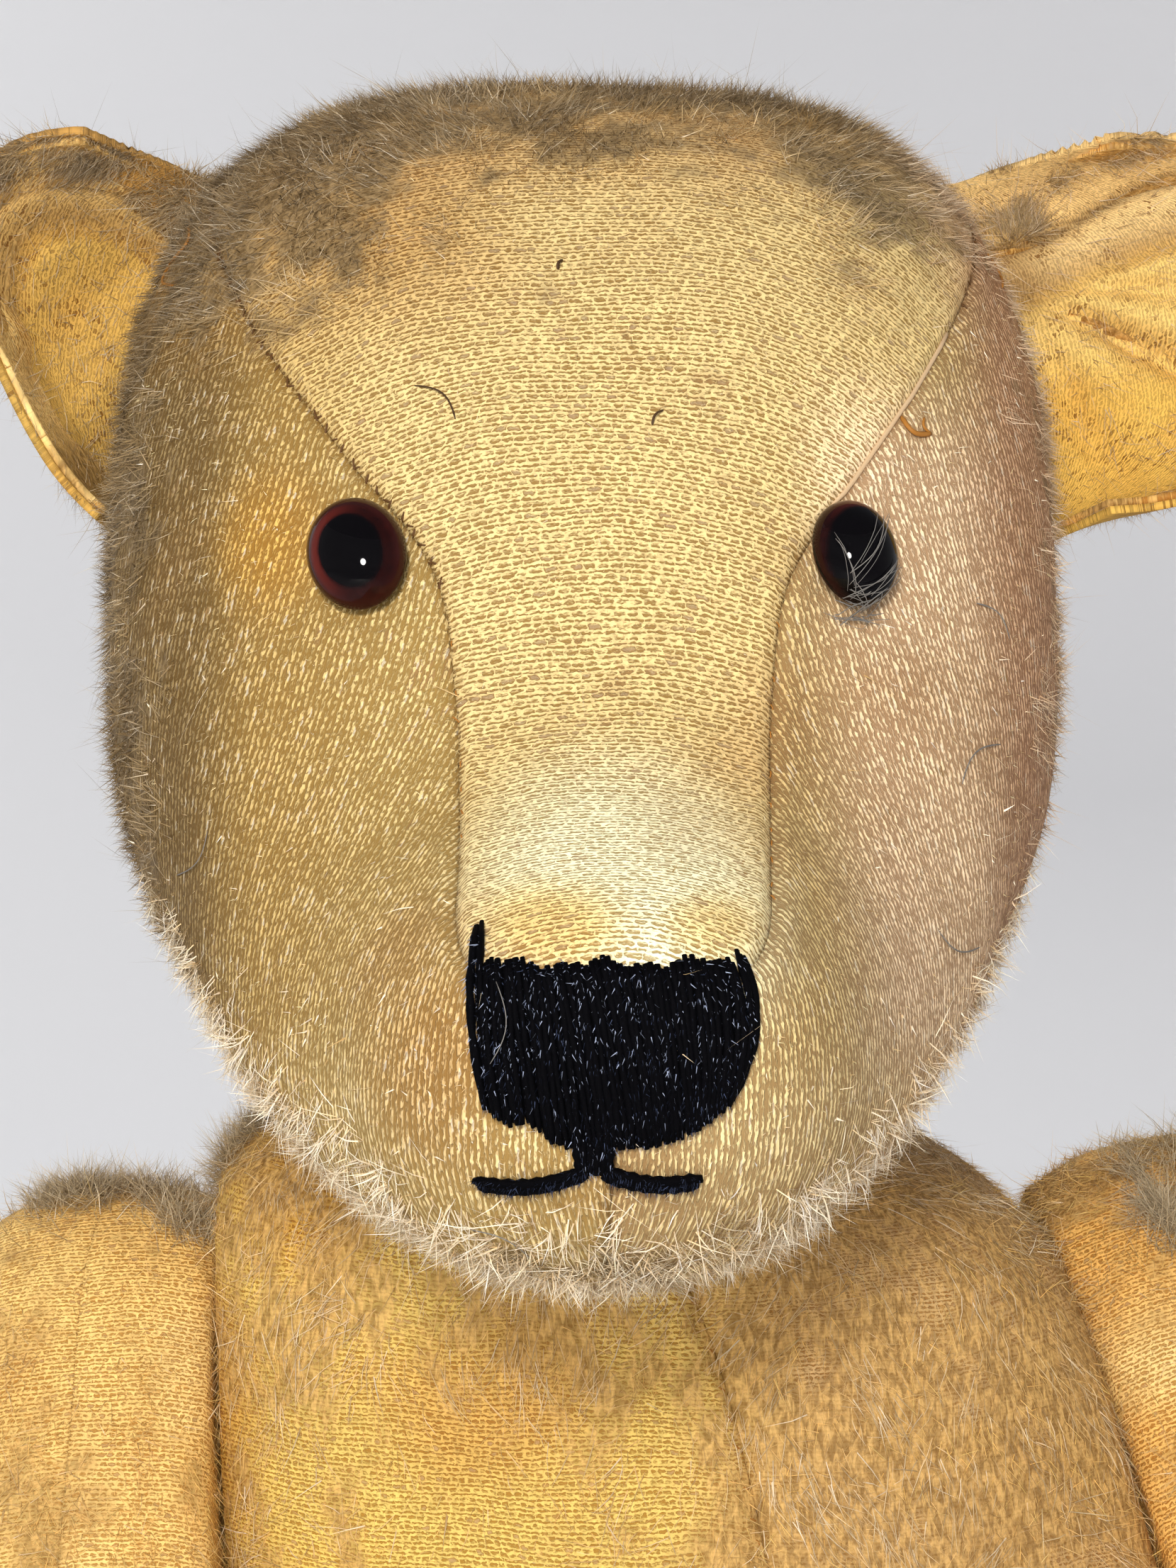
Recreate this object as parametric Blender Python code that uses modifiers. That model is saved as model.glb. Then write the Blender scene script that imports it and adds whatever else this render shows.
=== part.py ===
"""Threadbare teddy bear: a traditional jointed mohair bear, sitting, facing -Y.

Lengths are in millimetres and are turned into metres where a mesh is placed. The origin is on
the flat of the seat, below the neck joint, with +Z up. The bear's own left is at +X.
"""

import math

import bmesh
import bpy
from mathutils import Matrix, Vector
from mathutils.bvhtree import BVHTree

MM = 0.001

# Cloth and gaps
CLOTH = 1.2  # mohair plush with its cotton backing
FELT = 1.2
GAP = 0.35  # between neighbouring pieces
SEAM_GAP = 0.6  # from a panel's edge to the seam line
PADDING = CLOTH + 2.0  # from a panel's face to the stuffing

# Joints
NECK = Vector((0, 0, 156.0))
SHOULDER_RIGHT = Vector((-38.0, -2, 126.5))
SHOULDER_LEFT = Vector((55.5, 3, 126.5))
HIP_RIGHT = Vector((-26.5, -2, 23.3))
HIP_LEFT = Vector((63.5, -2, 23.3))
SHOULDER_TILT_RIGHT, SHOULDER_TILT_LEFT = -4, 14  # degrees that an arm hangs outwards
LEG_SPLAY = 10  # degrees that a leg points outwards
ARM_FORWARD = 40  # degrees from hanging straight down
NECK_DISC, SHOULDER_DISC, HIP_DISC = 17, 9.5, 10.5  # radii
DISC_THICK = 2.4
PIN = 1.3  # radius of a joint pin

# Head: one row a section, from the nose to the back of the head. Each row holds y and z of the
# section's top, y and z of its bottom, how far up its widest line lies, its half width, half
# the width of the gusset, how far the gusset lies to the left of the middle, and how square the
# section is above and below the widest line.
HEAD = (
    (-104.0, 172.6, -104.0, 171.6, 0.5, 0.6, 0.3, 0.0, 2.0, 2.0),
    (-103.6, 177.0, -103.5, 166.5, 0.5, 8.0, 6.0, 0.0, 2.1, 2.0),
    (-101.0, 180.2, -101.2, 160.8, 0.5, 12.8, 9.8, 0.0, 2.2, 2.0),
    (-95.5, 182.8, -95.8, 155.6, 0.5, 17.0, 11.4, 0.3, 2.2, 2.0),
    (-86.0, 186.8, -87.0, 152.0, 0.5, 21.2, 12.0, 0.8, 2.2, 2.0),
    (-76.5, 191.5, -76.5, 150.9, 0.47, 26.2, 12.6, 1.2, 2.2, 2.0),
    (-69.5, 199.0, -66.5, 150.9, 0.46, 30.8, 13.2, 1.4, 2.2, 2.0),
    (-65.5, 210.0, -57.5, 151.0, 0.45, 34.5, 15.2, 1.4, 2.3, 2.0),
    (-60.8, 223.0, -49.5, 151.0, 0.45, 38.0, 22.5, 1.0, 2.4, 2.0),
    (-53.0, 238.5, -42.0, 150.0, 0.46, 42.0, 30.5, 0.8, 2.6, 2.0),
    (-40.0, 253.0, -34.0, 149.0, 0.47, 45.8, 36.5, 1.0, 2.9, 2.0),
    (-20.0, 262.4, -20.0, 148.5, 0.48, 47.8, 38.5, 1.0, 3.2, 2.0),
    (0.0, 260.4, 0.0, 148.5, 0.49, 47.0, 35.0, 0.5, 3.0, 2.0),
    (17.0, 248.5, 16.0, 150.0, 0.5, 42.5, 27.0, 0.0, 2.6, 2.0),
    (28.0, 230.5, 26.0, 158.0, 0.5, 34.0, 18.0, 0.0, 2.3, 2.0),
    (33.5, 212.0, 33.0, 176.0, 0.5, 19.0, 9.0, 0.0, 2.1, 2.0),
    (35.0, 194.8, 35.0, 193.6, 0.5, 0.7, 0.35, 0.0, 2.0, 2.0),
)
HEAD_FLOOR, CHIN_FLOOR = 156.4, 150.8  # underside of the head at the neck and at the chin
NECK_FLAT, CHIN_REACH = 31, 51  # radii from the neck's axis where those two heights hold

# Torso: one row a ring, from the neck down to the seat: z, left-hand x, right-hand x, front y,
# back y and squareness. The bear slouches, so the belly lies to the side of the neck.
TORSO = (
    (155.6, -1.7, 1.7, -1.7, 1.7, 2.0),
    (155.6, -22.0, 22.0, -22.0, 22.0, 2.0),
    (154.6, -31.0, 31.0, -28.5, 28.5, 2.1),
    (150.6, -37.5, 38.0, -32.5, 33.0, 2.2),
    (144.5, -41.0, 47.0, -34.8, 36.0, 2.3),
    (134.0, -43.5, 57.0, -36.5, 37.5, 2.3),
    (118.0, -44.5, 65.0, -38.2, 38.5, 2.3),
    (98.0, -42.0, 69.5, -40.5, 39.5, 2.3),
    (74.0, -37.0, 70.0, -42.5, 39.5, 2.3),
    (50.0, -34.0, 70.5, -42.5, 38.5, 2.3),
    (28.0, -33.0, 70.0, -40.5, 37.5, 2.3),
    (12.0, -31.5, 68.5, -37.0, 34.5, 2.3),
    (3.0, -22.0, 59.0, -30.0, 29.0, 2.2),
    (0.0, -11.0, 48.0, -20.0, 20.0, 2.2),
    (0.0, 17.8, 19.2, -0.2, 1.2, 2.0),
)
FRONT_SEAM = 7  # degrees that the front seam lies to the left of the torso's middle

# Limbs hang straight down from their joint in these tables: z, front y, back y, inner x and
# outer x of each section, from the top down. The inner side is flat against the torso.
ARM = (
    (19.4, -0.6, 0.6, 13.0, 14.2),
    (17.8, -8.0, 8.0, 4.0, 22.5),
    (12.5, -14.5, 14.5, -4.5, 29.5),
    (1.0, -18.8, 18.8, -6.5, 33.5),
    (-17.0, -18.8, 18.0, -5.5, 33.0),
    (-36.0, -17.2, 15.2, -2.0, 31.0),
    (-54.0, -16.0, 12.5, 1.0, 29.0),
    (-69.0, -16.8, 11.2, 2.0, 28.5),
    (-80.0, -17.2, 8.5, 3.5, 27.0),
    (-87.0, -15.0, 4.0, 7.0, 23.5),
    (-89.0, -6.6, -5.4, 14.6, 15.8),
)
LEG = (
    (22.8, -0.6, 0.6, 14.0, 15.2),
    (20.8, -10.0, 10.0, 2.5, 26.0),
    (14.0, -17.5, 18.0, -6.5, 32.5),
    (0.0, -22.5, 23.5, -8.0, 36.5),
    (-22.0, -21.5, 24.0, -6.5, 36.0),
    (-45.0, -18.5, 23.5, -1.0, 33.5),
    (-68.0, -16.2, 23.0, 2.0, 31.5),
    (-84.0, -17.0, 23.0, 2.0, 31.5),
    (-96.0, -26.0, 22.5, 1.0, 32.5),
    (-106.0, -33.5, 21.0, 1.0, 33.0),
    (-111.5, -31.0, 17.5, 3.0, 30.5),
)
ARM_SQUARE, LEG_SQUARE = 2.3, 2.2
PAW_PAD_FROM = 6.6  # row of ARM where the felt of the paw begins

# Ears: base line on the head's section EAR_SECTION, from the top turn to the bottom turn
EAR_SECTION = 11.25
EAR_TURNS = (42, 79)
EAR_CLOTH = 1.0
EAR_RIM_TURN = 78  # degrees either side of the ear's middle that its rim spans
# reach outwards, rise of the tip, half height above and below, squareness, curl and cup forwards
EAR_LEFT = (38.5, 3.0, 19.5, 18.0, 2.9, 9.0, 4.0)
EAR_RIGHT = (19.0, 1.0, 18.5, 19.5, 2.7, 13.0, 5.0)

# Face
EYE_LEFT, EYE_RIGHT = (21.8, 209.3), (-19.9, 209.1)  # x and z
EYE_RADIUS, EYE_DEPTH = 4.7, 4.2
NOSE_LOW, NOSE_HIGH, NOSE_HALF = 165.4, 177.6, 9.4
NOSE_THICK = 1.3
MOUTH_Z, MOUTH_HALF, MOUTH_DROOP = 163.4, 8.0, 0.9
FLOSS = 0.45  # radius of a mouth stitch


def smoothstep(value):
    value = min(max(value, 0.0), 1.0)
    return value * value * (3 - 2 * value)


def between(rows, place):
    """The row at a fractional place in a table, on a smooth curve through its rows."""
    last = len(rows) - 1
    first = min(int(place), last - 1)
    f = place - first
    p, q, r, s = (rows[min(max(first + k, 0), last)] for k in (-1, 0, 1, 2))
    ease = (f * f * (2 - f) - f, 3 * f**3 - 5 * f * f + 2, 4 * f * f + f - 3 * f**3, f**3 - f * f)
    return [0.5 * sum(share * value for share, value in zip(ease, column)) for column in zip(p, q, r, s)]


def rounded(turn, square):
    """(across, up) of a squared circle of radius 1 at an angle from its top."""
    s, c = math.sin(turn), math.cos(turn)
    size = (abs(s) ** square + abs(c) ** square) ** (-1 / square)
    return s * size, c * size


def head_floor(radius):
    fall = smoothstep((radius - NECK_FLAT) / (CHIN_REACH - NECK_FLAT))
    return HEAD_FLOOR + (CHIN_FLOOR - HEAD_FLOOR) * fall


def head_point(section, turn):
    """A point of the head's skin: turn is 0 along its top and pi along its underside."""
    top_y, top_z, low_y, low_z, rise, half, _, _, above, below = between(HEAD, section)
    across, up = rounded(turn, above if math.cos(turn) > 0 else below)
    wide_y, wide_z = low_y + (top_y - low_y) * rise, low_z + (top_z - low_z) * rise
    end_y, end_z = (top_y, top_z) if up > 0 else (low_y, low_z)
    point = Vector((half * across, wide_y, wide_z))
    point += Vector((0, end_y - wide_y, end_z - wide_z)) * abs(up)
    point.z = max(point.z, head_floor(math.hypot(point.x, point.y)))
    return point


def gusset_turn(section, side):
    """The turn at which the seam between the gusset and one side panel lies."""
    *_, half, gusset, shift, above, _ = between(HEAD, section)
    share = min(max(gusset + side * shift, 0.01) / half, 0.95)
    return side * math.atan(share / (1 - share**above) ** (1 / above))


def torso_point(ring, turn):
    """A point of the torso's skin: turn is 0 at the front seam and pi at the back."""
    z, left, right, front, back, square = between(TORSO, ring)
    angle = turn + math.radians(FRONT_SEAM)
    across, ahead = rounded(angle, square)
    x = (left + right) / 2 + (right - left) / 2 * across
    y = (front + back) / 2 - (back - front) / 2 * ahead
    point = Vector((x, y, z))
    for joint, outwards, reach in FLATS:
        high = (point - joint).dot(outwards) + GAP
        if high > 0:
            point -= outwards * high * smoothstep((reach - (point - joint).length) / 10)
    return point


def limb_point(rows, square, section, turn, side):
    """A point of a limb's skin: turn is 0 at its front, and positive over its outer side."""
    z, front, back, inner, outer = between(rows, section)
    across, ahead = rounded(turn, square)
    x = max((inner + outer) / 2 + (outer - inner) / 2 * across, GAP)
    y = (front + back) / 2 - (back - front) / 2 * ahead
    return Vector((side * x, min(y, HIP_LEFT.z), z))


def ear_point(side, shape, along, out):
    """A point of an ear's middle layer: along is -1 at its top and 1 at its bottom."""
    reach, tip_rise, above, below, square, curl, cup = shape
    low, high = EAR_TURNS
    base_turn = math.radians(low + (high - low) * (along + 1) / 2)
    base = head_point(EAR_SECTION, side * base_turn)
    base += 0.5 * Vector((side * math.sin(base_turn), 0, math.cos(base_turn)))
    middle = head_point(EAR_SECTION, side * math.radians((low + high) / 2))
    drop, ahead = rounded(math.radians(EAR_RIM_TURN) * along, square)
    tall = above if along < 0 else below
    rim = middle + Vector((side * reach * ahead, 0, tip_rise * ahead - tall * drop))
    point = base.lerp(rim, out)
    point.y -= curl * out * out + cup * along * along * out * (1.4 - out)
    return point


def joint_frame(centre, tilt, splay, swing):
    """The frame of a joint whose local X is its axis."""
    return (
        Matrix.Translation(centre)
        @ Matrix.Rotation(math.radians(splay), 4, "Z")
        @ Matrix.Rotation(math.radians(tilt), 4, "Y")
        @ Matrix.Rotation(math.radians(swing), 4, "X")
    )


def half_turn(side):
    """Turns a frame's X to point out of the torso on either side."""
    return Matrix.Diagonal((side, side, 1, 1))


FRAMES = {
    "arm_left": joint_frame(SHOULDER_LEFT, -SHOULDER_TILT_LEFT, 0, -ARM_FORWARD),
    "arm_right": joint_frame(SHOULDER_RIGHT, SHOULDER_TILT_RIGHT, 0, -ARM_FORWARD),
    "leg_left": joint_frame(HIP_LEFT, 0, LEG_SPLAY, -90),
    "leg_right": joint_frame(HIP_RIGHT, 0, -LEG_SPLAY, -90),
}


def flat_of(limb, reach):
    """(centre, direction outwards, reach) of the place where a limb lies against the torso."""
    frame = FRAMES[limb]
    side = 1 if limb.endswith("left") else -1
    return frame.translation.copy(), frame.to_3x3() @ Vector((side, 0, 0)), reach


FLATS = tuple(flat_of(limb, 130 if limb.startswith("arm") else 40) for limb in FRAMES)


def seam_gap(t):
    """How far a panel's point stands back from the seam: only its two edges do."""
    return SEAM_GAP if min(t, 1 - t) < 0.001 else 0.0


def collection(name, hidden=False):
    made = bpy.data.collections.new(name)
    made.hide_render = hidden
    bpy.context.scene.collection.children.link(made)
    return made


def material(name, colour, roughness, metallic=0.0):
    made = bpy.data.materials.new(name)
    made.use_nodes = True
    shader = made.node_tree.nodes["Principled BSDF"]
    shader.inputs["Base Color"].default_value = (*colour, 1)
    shader.inputs["Roughness"].default_value = roughness
    shader.inputs["Metallic"].default_value = metallic
    made.diffuse_color = (*colour, 1)
    return made


def finish(name, mesh, finish_of, holder, group):
    """Makes an object of a mesh in millimetres, held by an empty on its joint."""
    if holder is not None:
        mesh.transform(holder["frame"].inverted() if holder["in_world"] else Matrix.Identity(4))
    mesh.transform(Matrix.Scale(MM, 4))
    data = bpy.data.meshes.new(name)
    mesh.to_mesh(data)
    mesh.free()
    data.materials.append(finish_of)
    data.shade_smooth()
    made = bpy.data.objects.new(name, data)
    group.objects.link(made)
    if holder is not None:
        made.parent = holder["empty"]
    return made


def thicken(made, thickness, offset=-1.0):
    shell = made.modifiers.new("cloth", "SOLIDIFY")
    shell.thickness = thickness * MM
    shell.offset = offset
    shell.use_even_offset = True


def facing_out(mesh, middle, outwards=True):
    mesh.normal_update()
    away = sum(face.normal.dot(face.calc_center_median() - middle) for face in mesh.faces)
    if (away < 0) == outwards:
        bmesh.ops.reverse_faces(mesh, faces=mesh.faces)


def grid(rows, columns, place, middle):
    """An open sheet, with each point where place(s, t) says, s and t running from 0 to 1."""
    mesh = bmesh.new()
    bmesh.ops.create_grid(mesh, x_segments=rows, y_segments=columns, size=0.5)
    for vertex in mesh.verts:
        vertex.co = place(vertex.co.x + 0.5, vertex.co.y + 0.5)
    facing_out(mesh, middle)
    return mesh


def ball(rings, segments, place, sink):
    """A closed body with each point where place(s, turn) says, sunk below that skin."""
    mesh = bmesh.new()
    bmesh.ops.create_uvsphere(mesh, u_segments=segments, v_segments=rings, radius=1)
    for vertex in mesh.verts:
        x, y, z = vertex.co
        vertex.co = place(math.acos(max(-1, min(1, z))) / math.pi, math.atan2(x, y))
    facing_out(mesh, sum((v.co for v in mesh.verts), Vector()) / len(mesh.verts))
    mesh.normal_update()
    for vertex in mesh.verts:
        vertex.co -= vertex.normal * sink
    return mesh


def cutter(name, frame, radius, low, high, group, sides=16):
    """A hidden cylinder along a frame's X, from low to high."""
    mesh = bmesh.new()
    bmesh.ops.create_cone(
        mesh, cap_ends=True, segments=sides, radius1=radius, radius2=radius, depth=high - low,
        matrix=frame @ Matrix.Translation(((low + high) / 2, 0, 0)) @ Matrix.Rotation(math.pi / 2, 4, "Y"),
    )
    made = finish(name, mesh, bpy.data.materials["steel"], None, group)
    made.hide_render = True
    made.display_type = "WIRE"
    return made


def cut(made, tool):
    hole = made.modifiers.new(tool.name, "BOOLEAN")
    hole.operation = "DIFFERENCE"
    hole.object = tool


def turned(name, profile, steps, frame, finish_of, holder, group):
    """A turned piece about a frame's X. The profile runs down its outer side as (radius, x)."""
    mesh = bmesh.new()
    points = [mesh.verts.new((radius * MM, 0, x * MM)) for radius, x in profile]
    for first, second in zip(points, points[1:] + points[:1]):
        if profile[points.index(first)][0] or profile[points.index(second)][0]:
            mesh.edges.new((first, second))
    data = bpy.data.meshes.new(name)
    mesh.to_mesh(data)
    mesh.free()
    data.materials.append(finish_of)
    made = bpy.data.objects.new(name, data)
    group.objects.link(made)
    screw = made.modifiers.new("turned", "SCREW")
    screw.axis = "Z"
    screw.steps = screw.render_steps = steps
    screw.use_merge_vertices = True
    screw.merge_threshold = 0.00001
    screw.use_smooth_shade = False
    place = frame @ Matrix.Rotation(math.pi / 2, 4, "Y")
    if holder is not None:
        made.parent = holder["empty"]
        place = holder["frame"].inverted() @ place
    place.translation *= MM
    made.matrix_local = place
    return made


def disc(name, frame, radius, low, holder, group):
    high = low + DISC_THICK
    bore = PIN + 0.2
    profile = [(bore, high), (radius, high), (radius, low), (bore, low)]
    return turned(name, profile, 12, frame, bpy.data.materials["hardboard"], holder, group)


def pin(name, frame, low, high, group):
    """A joint pin with a washer-wide head at each end."""
    head, thick = 3.2, 1.0
    profile = [(0, high), (head, high), (head, high - thick), (PIN, high - thick)]
    profile += [(PIN, low + thick), (head, low + thick), (head, low), (0, low)]
    return turned(name, profile, 8, frame, bpy.data.materials["steel"], None, group)


def holder_of(name, frame, group, in_world=False):
    empty = bpy.data.objects.new(name, None)
    empty.empty_display_size = 0.02
    group.objects.link(empty)
    place = frame.copy()
    place.translation *= MM
    empty.matrix_world = place
    return {"empty": empty, "frame": frame, "in_world": in_world}


def head_surface():
    """The head's skin as one fine surface, to seat the face on."""
    return BVHTree.FromBMesh(ball(96, 96, lambda s, turn: head_point(s * (len(HEAD) - 1), turn), 0))


def on_face(surface, x, z):
    """The point and the normal of the face's skin at (x, z), a hair beside the seam's own edges."""
    point, normal, *_ = surface.ray_cast(Vector((x + 0.01, -200, z)), Vector((0, 1, 0)))
    return point, normal


def head(group, cutters):
    holder = holder_of("neck_swivel", Matrix.Translation(NECK), group, in_world=True)
    cloth, middle = bpy.data.materials["mohair"], Vector((0, -20, 200))
    last, first = len(HEAD) - 1.04, 0.3
    upright = Matrix.Translation(NECK) @ Matrix.Rotation(-math.pi / 2, 4, "Y")
    pin_hole = cutter("neck_pin_hole", upright, PIN + 0.4, -12, 12, cutters)

    def section(s):
        return first + (last - first) * s

    def gusset(s, t):
        right, left = gusset_turn(section(s), -1), gusset_turn(section(s), 1)
        point = head_point(section(s), right + (left - right) * t)
        point.x -= math.copysign(seam_gap(t), 2 * t - 1)
        return point

    thicken(finish("head_gusset", grid(19, 5, gusset, middle), cloth, holder, group), CLOTH)
    for side, name in ((1, "head_side_left"), (-1, "head_side_right")):

        def panel(s, t, side=side):
            seam = gusset_turn(section(s), side)
            point = head_point(section(s), seam + (side * math.pi - seam) * t)
            point.x += side * seam_gap(t)
            return point

        made = finish(name, grid(19, 7, panel, middle), cloth, holder, group)
        thicken(made, CLOTH)
        cut(made, pin_hole)
        eye = cutters.objects[name.replace("head_side", "eye_hole")]
        cut(made, eye)

    filling = ball(18, 16, lambda s, turn: head_point(s * (len(HEAD) - 1), turn), PADDING)
    stuffing = finish("head_stuffing", filling, bpy.data.materials["wood_wool"], holder, group)
    cut(stuffing, cutter("neck_pocket_head", upright, NECK_DISC + 1, -8, 7.2, cutters))
    for name in ("eye_hole_left", "eye_hole_right"):
        cut(stuffing, cutters.objects[name])
    disc("neck_disc_head", upright, NECK_DISC, 2.1, holder, group)
    return holder


def eyes(surface, group, cutters):
    """Frames of the two eyes, with X out of the face, and the holes for their shanks."""
    frames = {}
    for name, (x, z) in (("left", EYE_LEFT), ("right", EYE_RIGHT)):
        point, normal = on_face(surface, x, z)
        frame = Matrix.Translation(point) @ normal.to_track_quat("X", "Z").to_matrix().to_4x4()
        frames[name] = frame
        cutter("eye_hole_" + name, frame, 1.5, -11, 3, cutters, sides=8)
    return frames


def dress_eyes(frames, holder, group):
    for name, frame in frames.items():
        dome = [(0, EYE_DEPTH + GAP)]
        for step in range(1, 6):
            turn = math.radians(step * 18)
            dome.append((EYE_RADIUS * math.sin(turn), GAP + 0.9 + (EYE_DEPTH - 0.9) * math.cos(turn)))
        dome += [(EYE_RADIUS * 0.86, GAP + 0.1), (0, GAP + 0.1)]
        turned("eye_" + name, dome, 14, frame, bpy.data.materials["glass"], holder, group)
        shank = [(0, GAP - 0.2), (0.6, GAP - 0.2), (0.6, -8), (1.1, -8.4), (1.1, -9.6), (0, -10)]
        turned("eye_shank_" + name, shank, 8, frame, bpy.data.materials["steel"], holder, group)


def nose_and_mouth(surface, holder, group):
    black = bpy.data.materials["floss"]
    centre_z, tall = (NOSE_LOW + NOSE_HIGH) / 2, (NOSE_HIGH - NOSE_LOW) / 2

    def nose(s, t):
        s, t = 2 * s - 1, 2 * t - 1
        x, z = s * math.sqrt(1 - 0.36 * t * t), t * math.sqrt(1 - 0.16 * s * s)
        x *= 1 - 0.3 * smoothstep((0.1 - t) / 1.1)
        point, normal = on_face(surface, NOSE_HALF * x, centre_z + tall * z)
        return point + normal * (GAP + 0.1)

    made = finish("nose_stitching", grid(8, 6, nose, Vector((0, -60, 172))), black, holder, group)
    thicken(made, NOSE_THICK, 1.0)

    stroke = bpy.data.curves.new("mouth_stitching", "CURVE")
    stroke.dimensions = "3D"
    stroke.bevel_depth, stroke.bevel_resolution, stroke.use_fill_caps = FLOSS * MM, 2, True
    steps = 12
    line = stroke.splines.new("POLY")
    line.points.add(steps)
    for i, point in enumerate(line.points):
        across = 2 * i / steps - 1
        x, z = MOUTH_HALF * across, MOUTH_Z - MOUTH_DROOP * across**2
        place, normal = on_face(surface, x, z)
        point.co = (*((place + normal * (FLOSS + GAP) - NECK) * MM), 1)
    stroke.materials.append(black)
    mouth = bpy.data.objects.new("mouth_stitching", stroke)
    group.objects.link(mouth)
    mouth.parent = holder["empty"]


def ears(holder, group):
    cloth = {"front": bpy.data.materials["cotton"], "back": bpy.data.materials["mohair"]}
    for side, name, shape in ((1, "left", EAR_LEFT), (-1, "right", EAR_RIGHT)):
        for layer in ("front", "back"):
            behind = Vector((side * 70, 200 if layer == "front" else -300, 235))
            mesh = grid(5, 7, lambda s, t: ear_point(side, shape, 2 * t - 1, s), behind)
            for vertex in mesh.verts:
                vertex.co += vertex.normal * GAP / 2
            made = finish(f"ear_{name}_{layer}", mesh, cloth[layer], holder, group)
            thicken(made, EAR_CLOTH, 1.0)


def torso(group, cutters):
    cloth, middle = bpy.data.materials["mohair"], Vector((8, 0, 80))
    last = len(TORSO) - 1
    for side, name in ((1, "torso_left"), (-1, "torso_right")):

        def panel(s, t, side=side):
            point = torso_point(last * s, side * math.pi * t)
            point.x += side * seam_gap(t)
            return point

        made = finish(name, grid(14, 8, panel, middle), cloth, None, group)
        thicken(made, CLOTH)
        for limb in ("arm", "leg"):
            cut(made, cutters.objects[f"{limb}_{name[6:]}_pin_hole"])
    filling = ball(14, 16, lambda s, turn: torso_point(last * s, turn), PADDING)
    stuffing = finish("torso_stuffing", filling, bpy.data.materials["wood_wool"], None, group)
    upright = Matrix.Translation(NECK) @ Matrix.Rotation(-math.pi / 2, 4, "Y")
    cut(stuffing, cutter("neck_pocket_torso", upright, NECK_DISC + 1, -8.5, 8, cutters))
    disc("neck_disc_torso", upright, NECK_DISC, -2.1 - DISC_THICK, None, group)
    pin("neck_pin", upright, -6.2, 6.2, group)
    for limb, radius in (("arm", SHOULDER_DISC), ("leg", HIP_DISC)):
        for name in ("left", "right"):
            side = 1 if name == "left" else -1
            frame = FRAMES[f"{limb}_{name}"] @ half_turn(side)
            cut(stuffing, cutter(f"{limb}_{name}_pocket_torso", frame, radius + 1, -8, 6, cutters))
            disc(f"{limb}_disc_{name}_torso", frame, radius, -2.4 - DISC_THICK, None, group)
            pin(f"{limb}_pin_{name}", frame, -6.0, 6.0, group)


def limb(kind, name, rows, square, pad_from, radius, group, cutters):
    side = 1 if name == "left" else -1
    limb_name = f"{kind}_{name}"
    frame = FRAMES[limb_name]
    holder = holder_of(("shoulder_" if kind == "arm" else "hip_") + name, frame, group)
    outwards = frame @ half_turn(side)
    cloth, felt = bpy.data.materials["mohair"], bpy.data.materials["felt"]
    last, middle = len(rows) - 1, Vector((side * 16, 0, -40))

    def sheet(first, final, over):
        """One half of the skin: over is 1 on the limb's outer side and -1 on its inner side."""

        def place(s, t):
            point = limb_point(rows, square, first + (final - first) * s, over * math.pi * t, side)
            point.x += side * over * seam_gap(t)
            return point

        return place

    outer = sheet(0.2, last, 1)
    thicken(finish(f"{limb_name}_outer", grid(12, 5, outer, middle), cloth, holder, group), CLOTH)
    inner_end = pad_from - 0.03 if kind == "arm" else last
    inner_rows = 8 if kind == "arm" else 12
    inner = grid(inner_rows, 5, sheet(0.2, inner_end, -1), middle)
    made = finish(f"{limb_name}_inner", inner, cloth, holder, group)
    thicken(made, CLOTH)
    cut(made, cutters.objects[f"{limb_name}_pin_hole"])
    if kind == "arm":
        pad = sheet(pad_from + 0.03, last, -1)
        thicken(finish(f"paw_pad_{name}", grid(4, 5, pad, middle), felt, holder, group), FELT)
    else:
        sole = bmesh.new()
        bmesh.ops.create_circle(sole, cap_ends=True, cap_tris=True, segments=18, radius=1)
        for vertex in sole.verts:
            turn, size = math.atan2(vertex.co.x, vertex.co.y), vertex.co.length
            rim = limb_point(rows, square, last, turn, side)
            heart = Vector((side * 16.75, (rows[-1][1] + rows[-1][2]) / 2, rows[-1][0]))
            vertex.co = heart.lerp(rim, size)
            vertex.co.z -= GAP + 1.5 * (1 - size * size)
        facing_out(sole, middle)
        thicken(finish(f"foot_pad_{name}", sole, felt, holder, group), FELT, 1.0)
    filling = ball(10, 10, lambda s, turn: limb_point(rows, square, last * s, turn, side), PADDING)
    stuffing = finish(f"{limb_name}_stuffing", filling, bpy.data.materials["wood_wool"], holder, group)
    cut(stuffing, cutter(f"{limb_name}_pocket", outwards, radius + 1, -6, 8, cutters))
    disc(f"{kind}_disc_{name}", outwards, radius, 2.0, holder, group)


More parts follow.
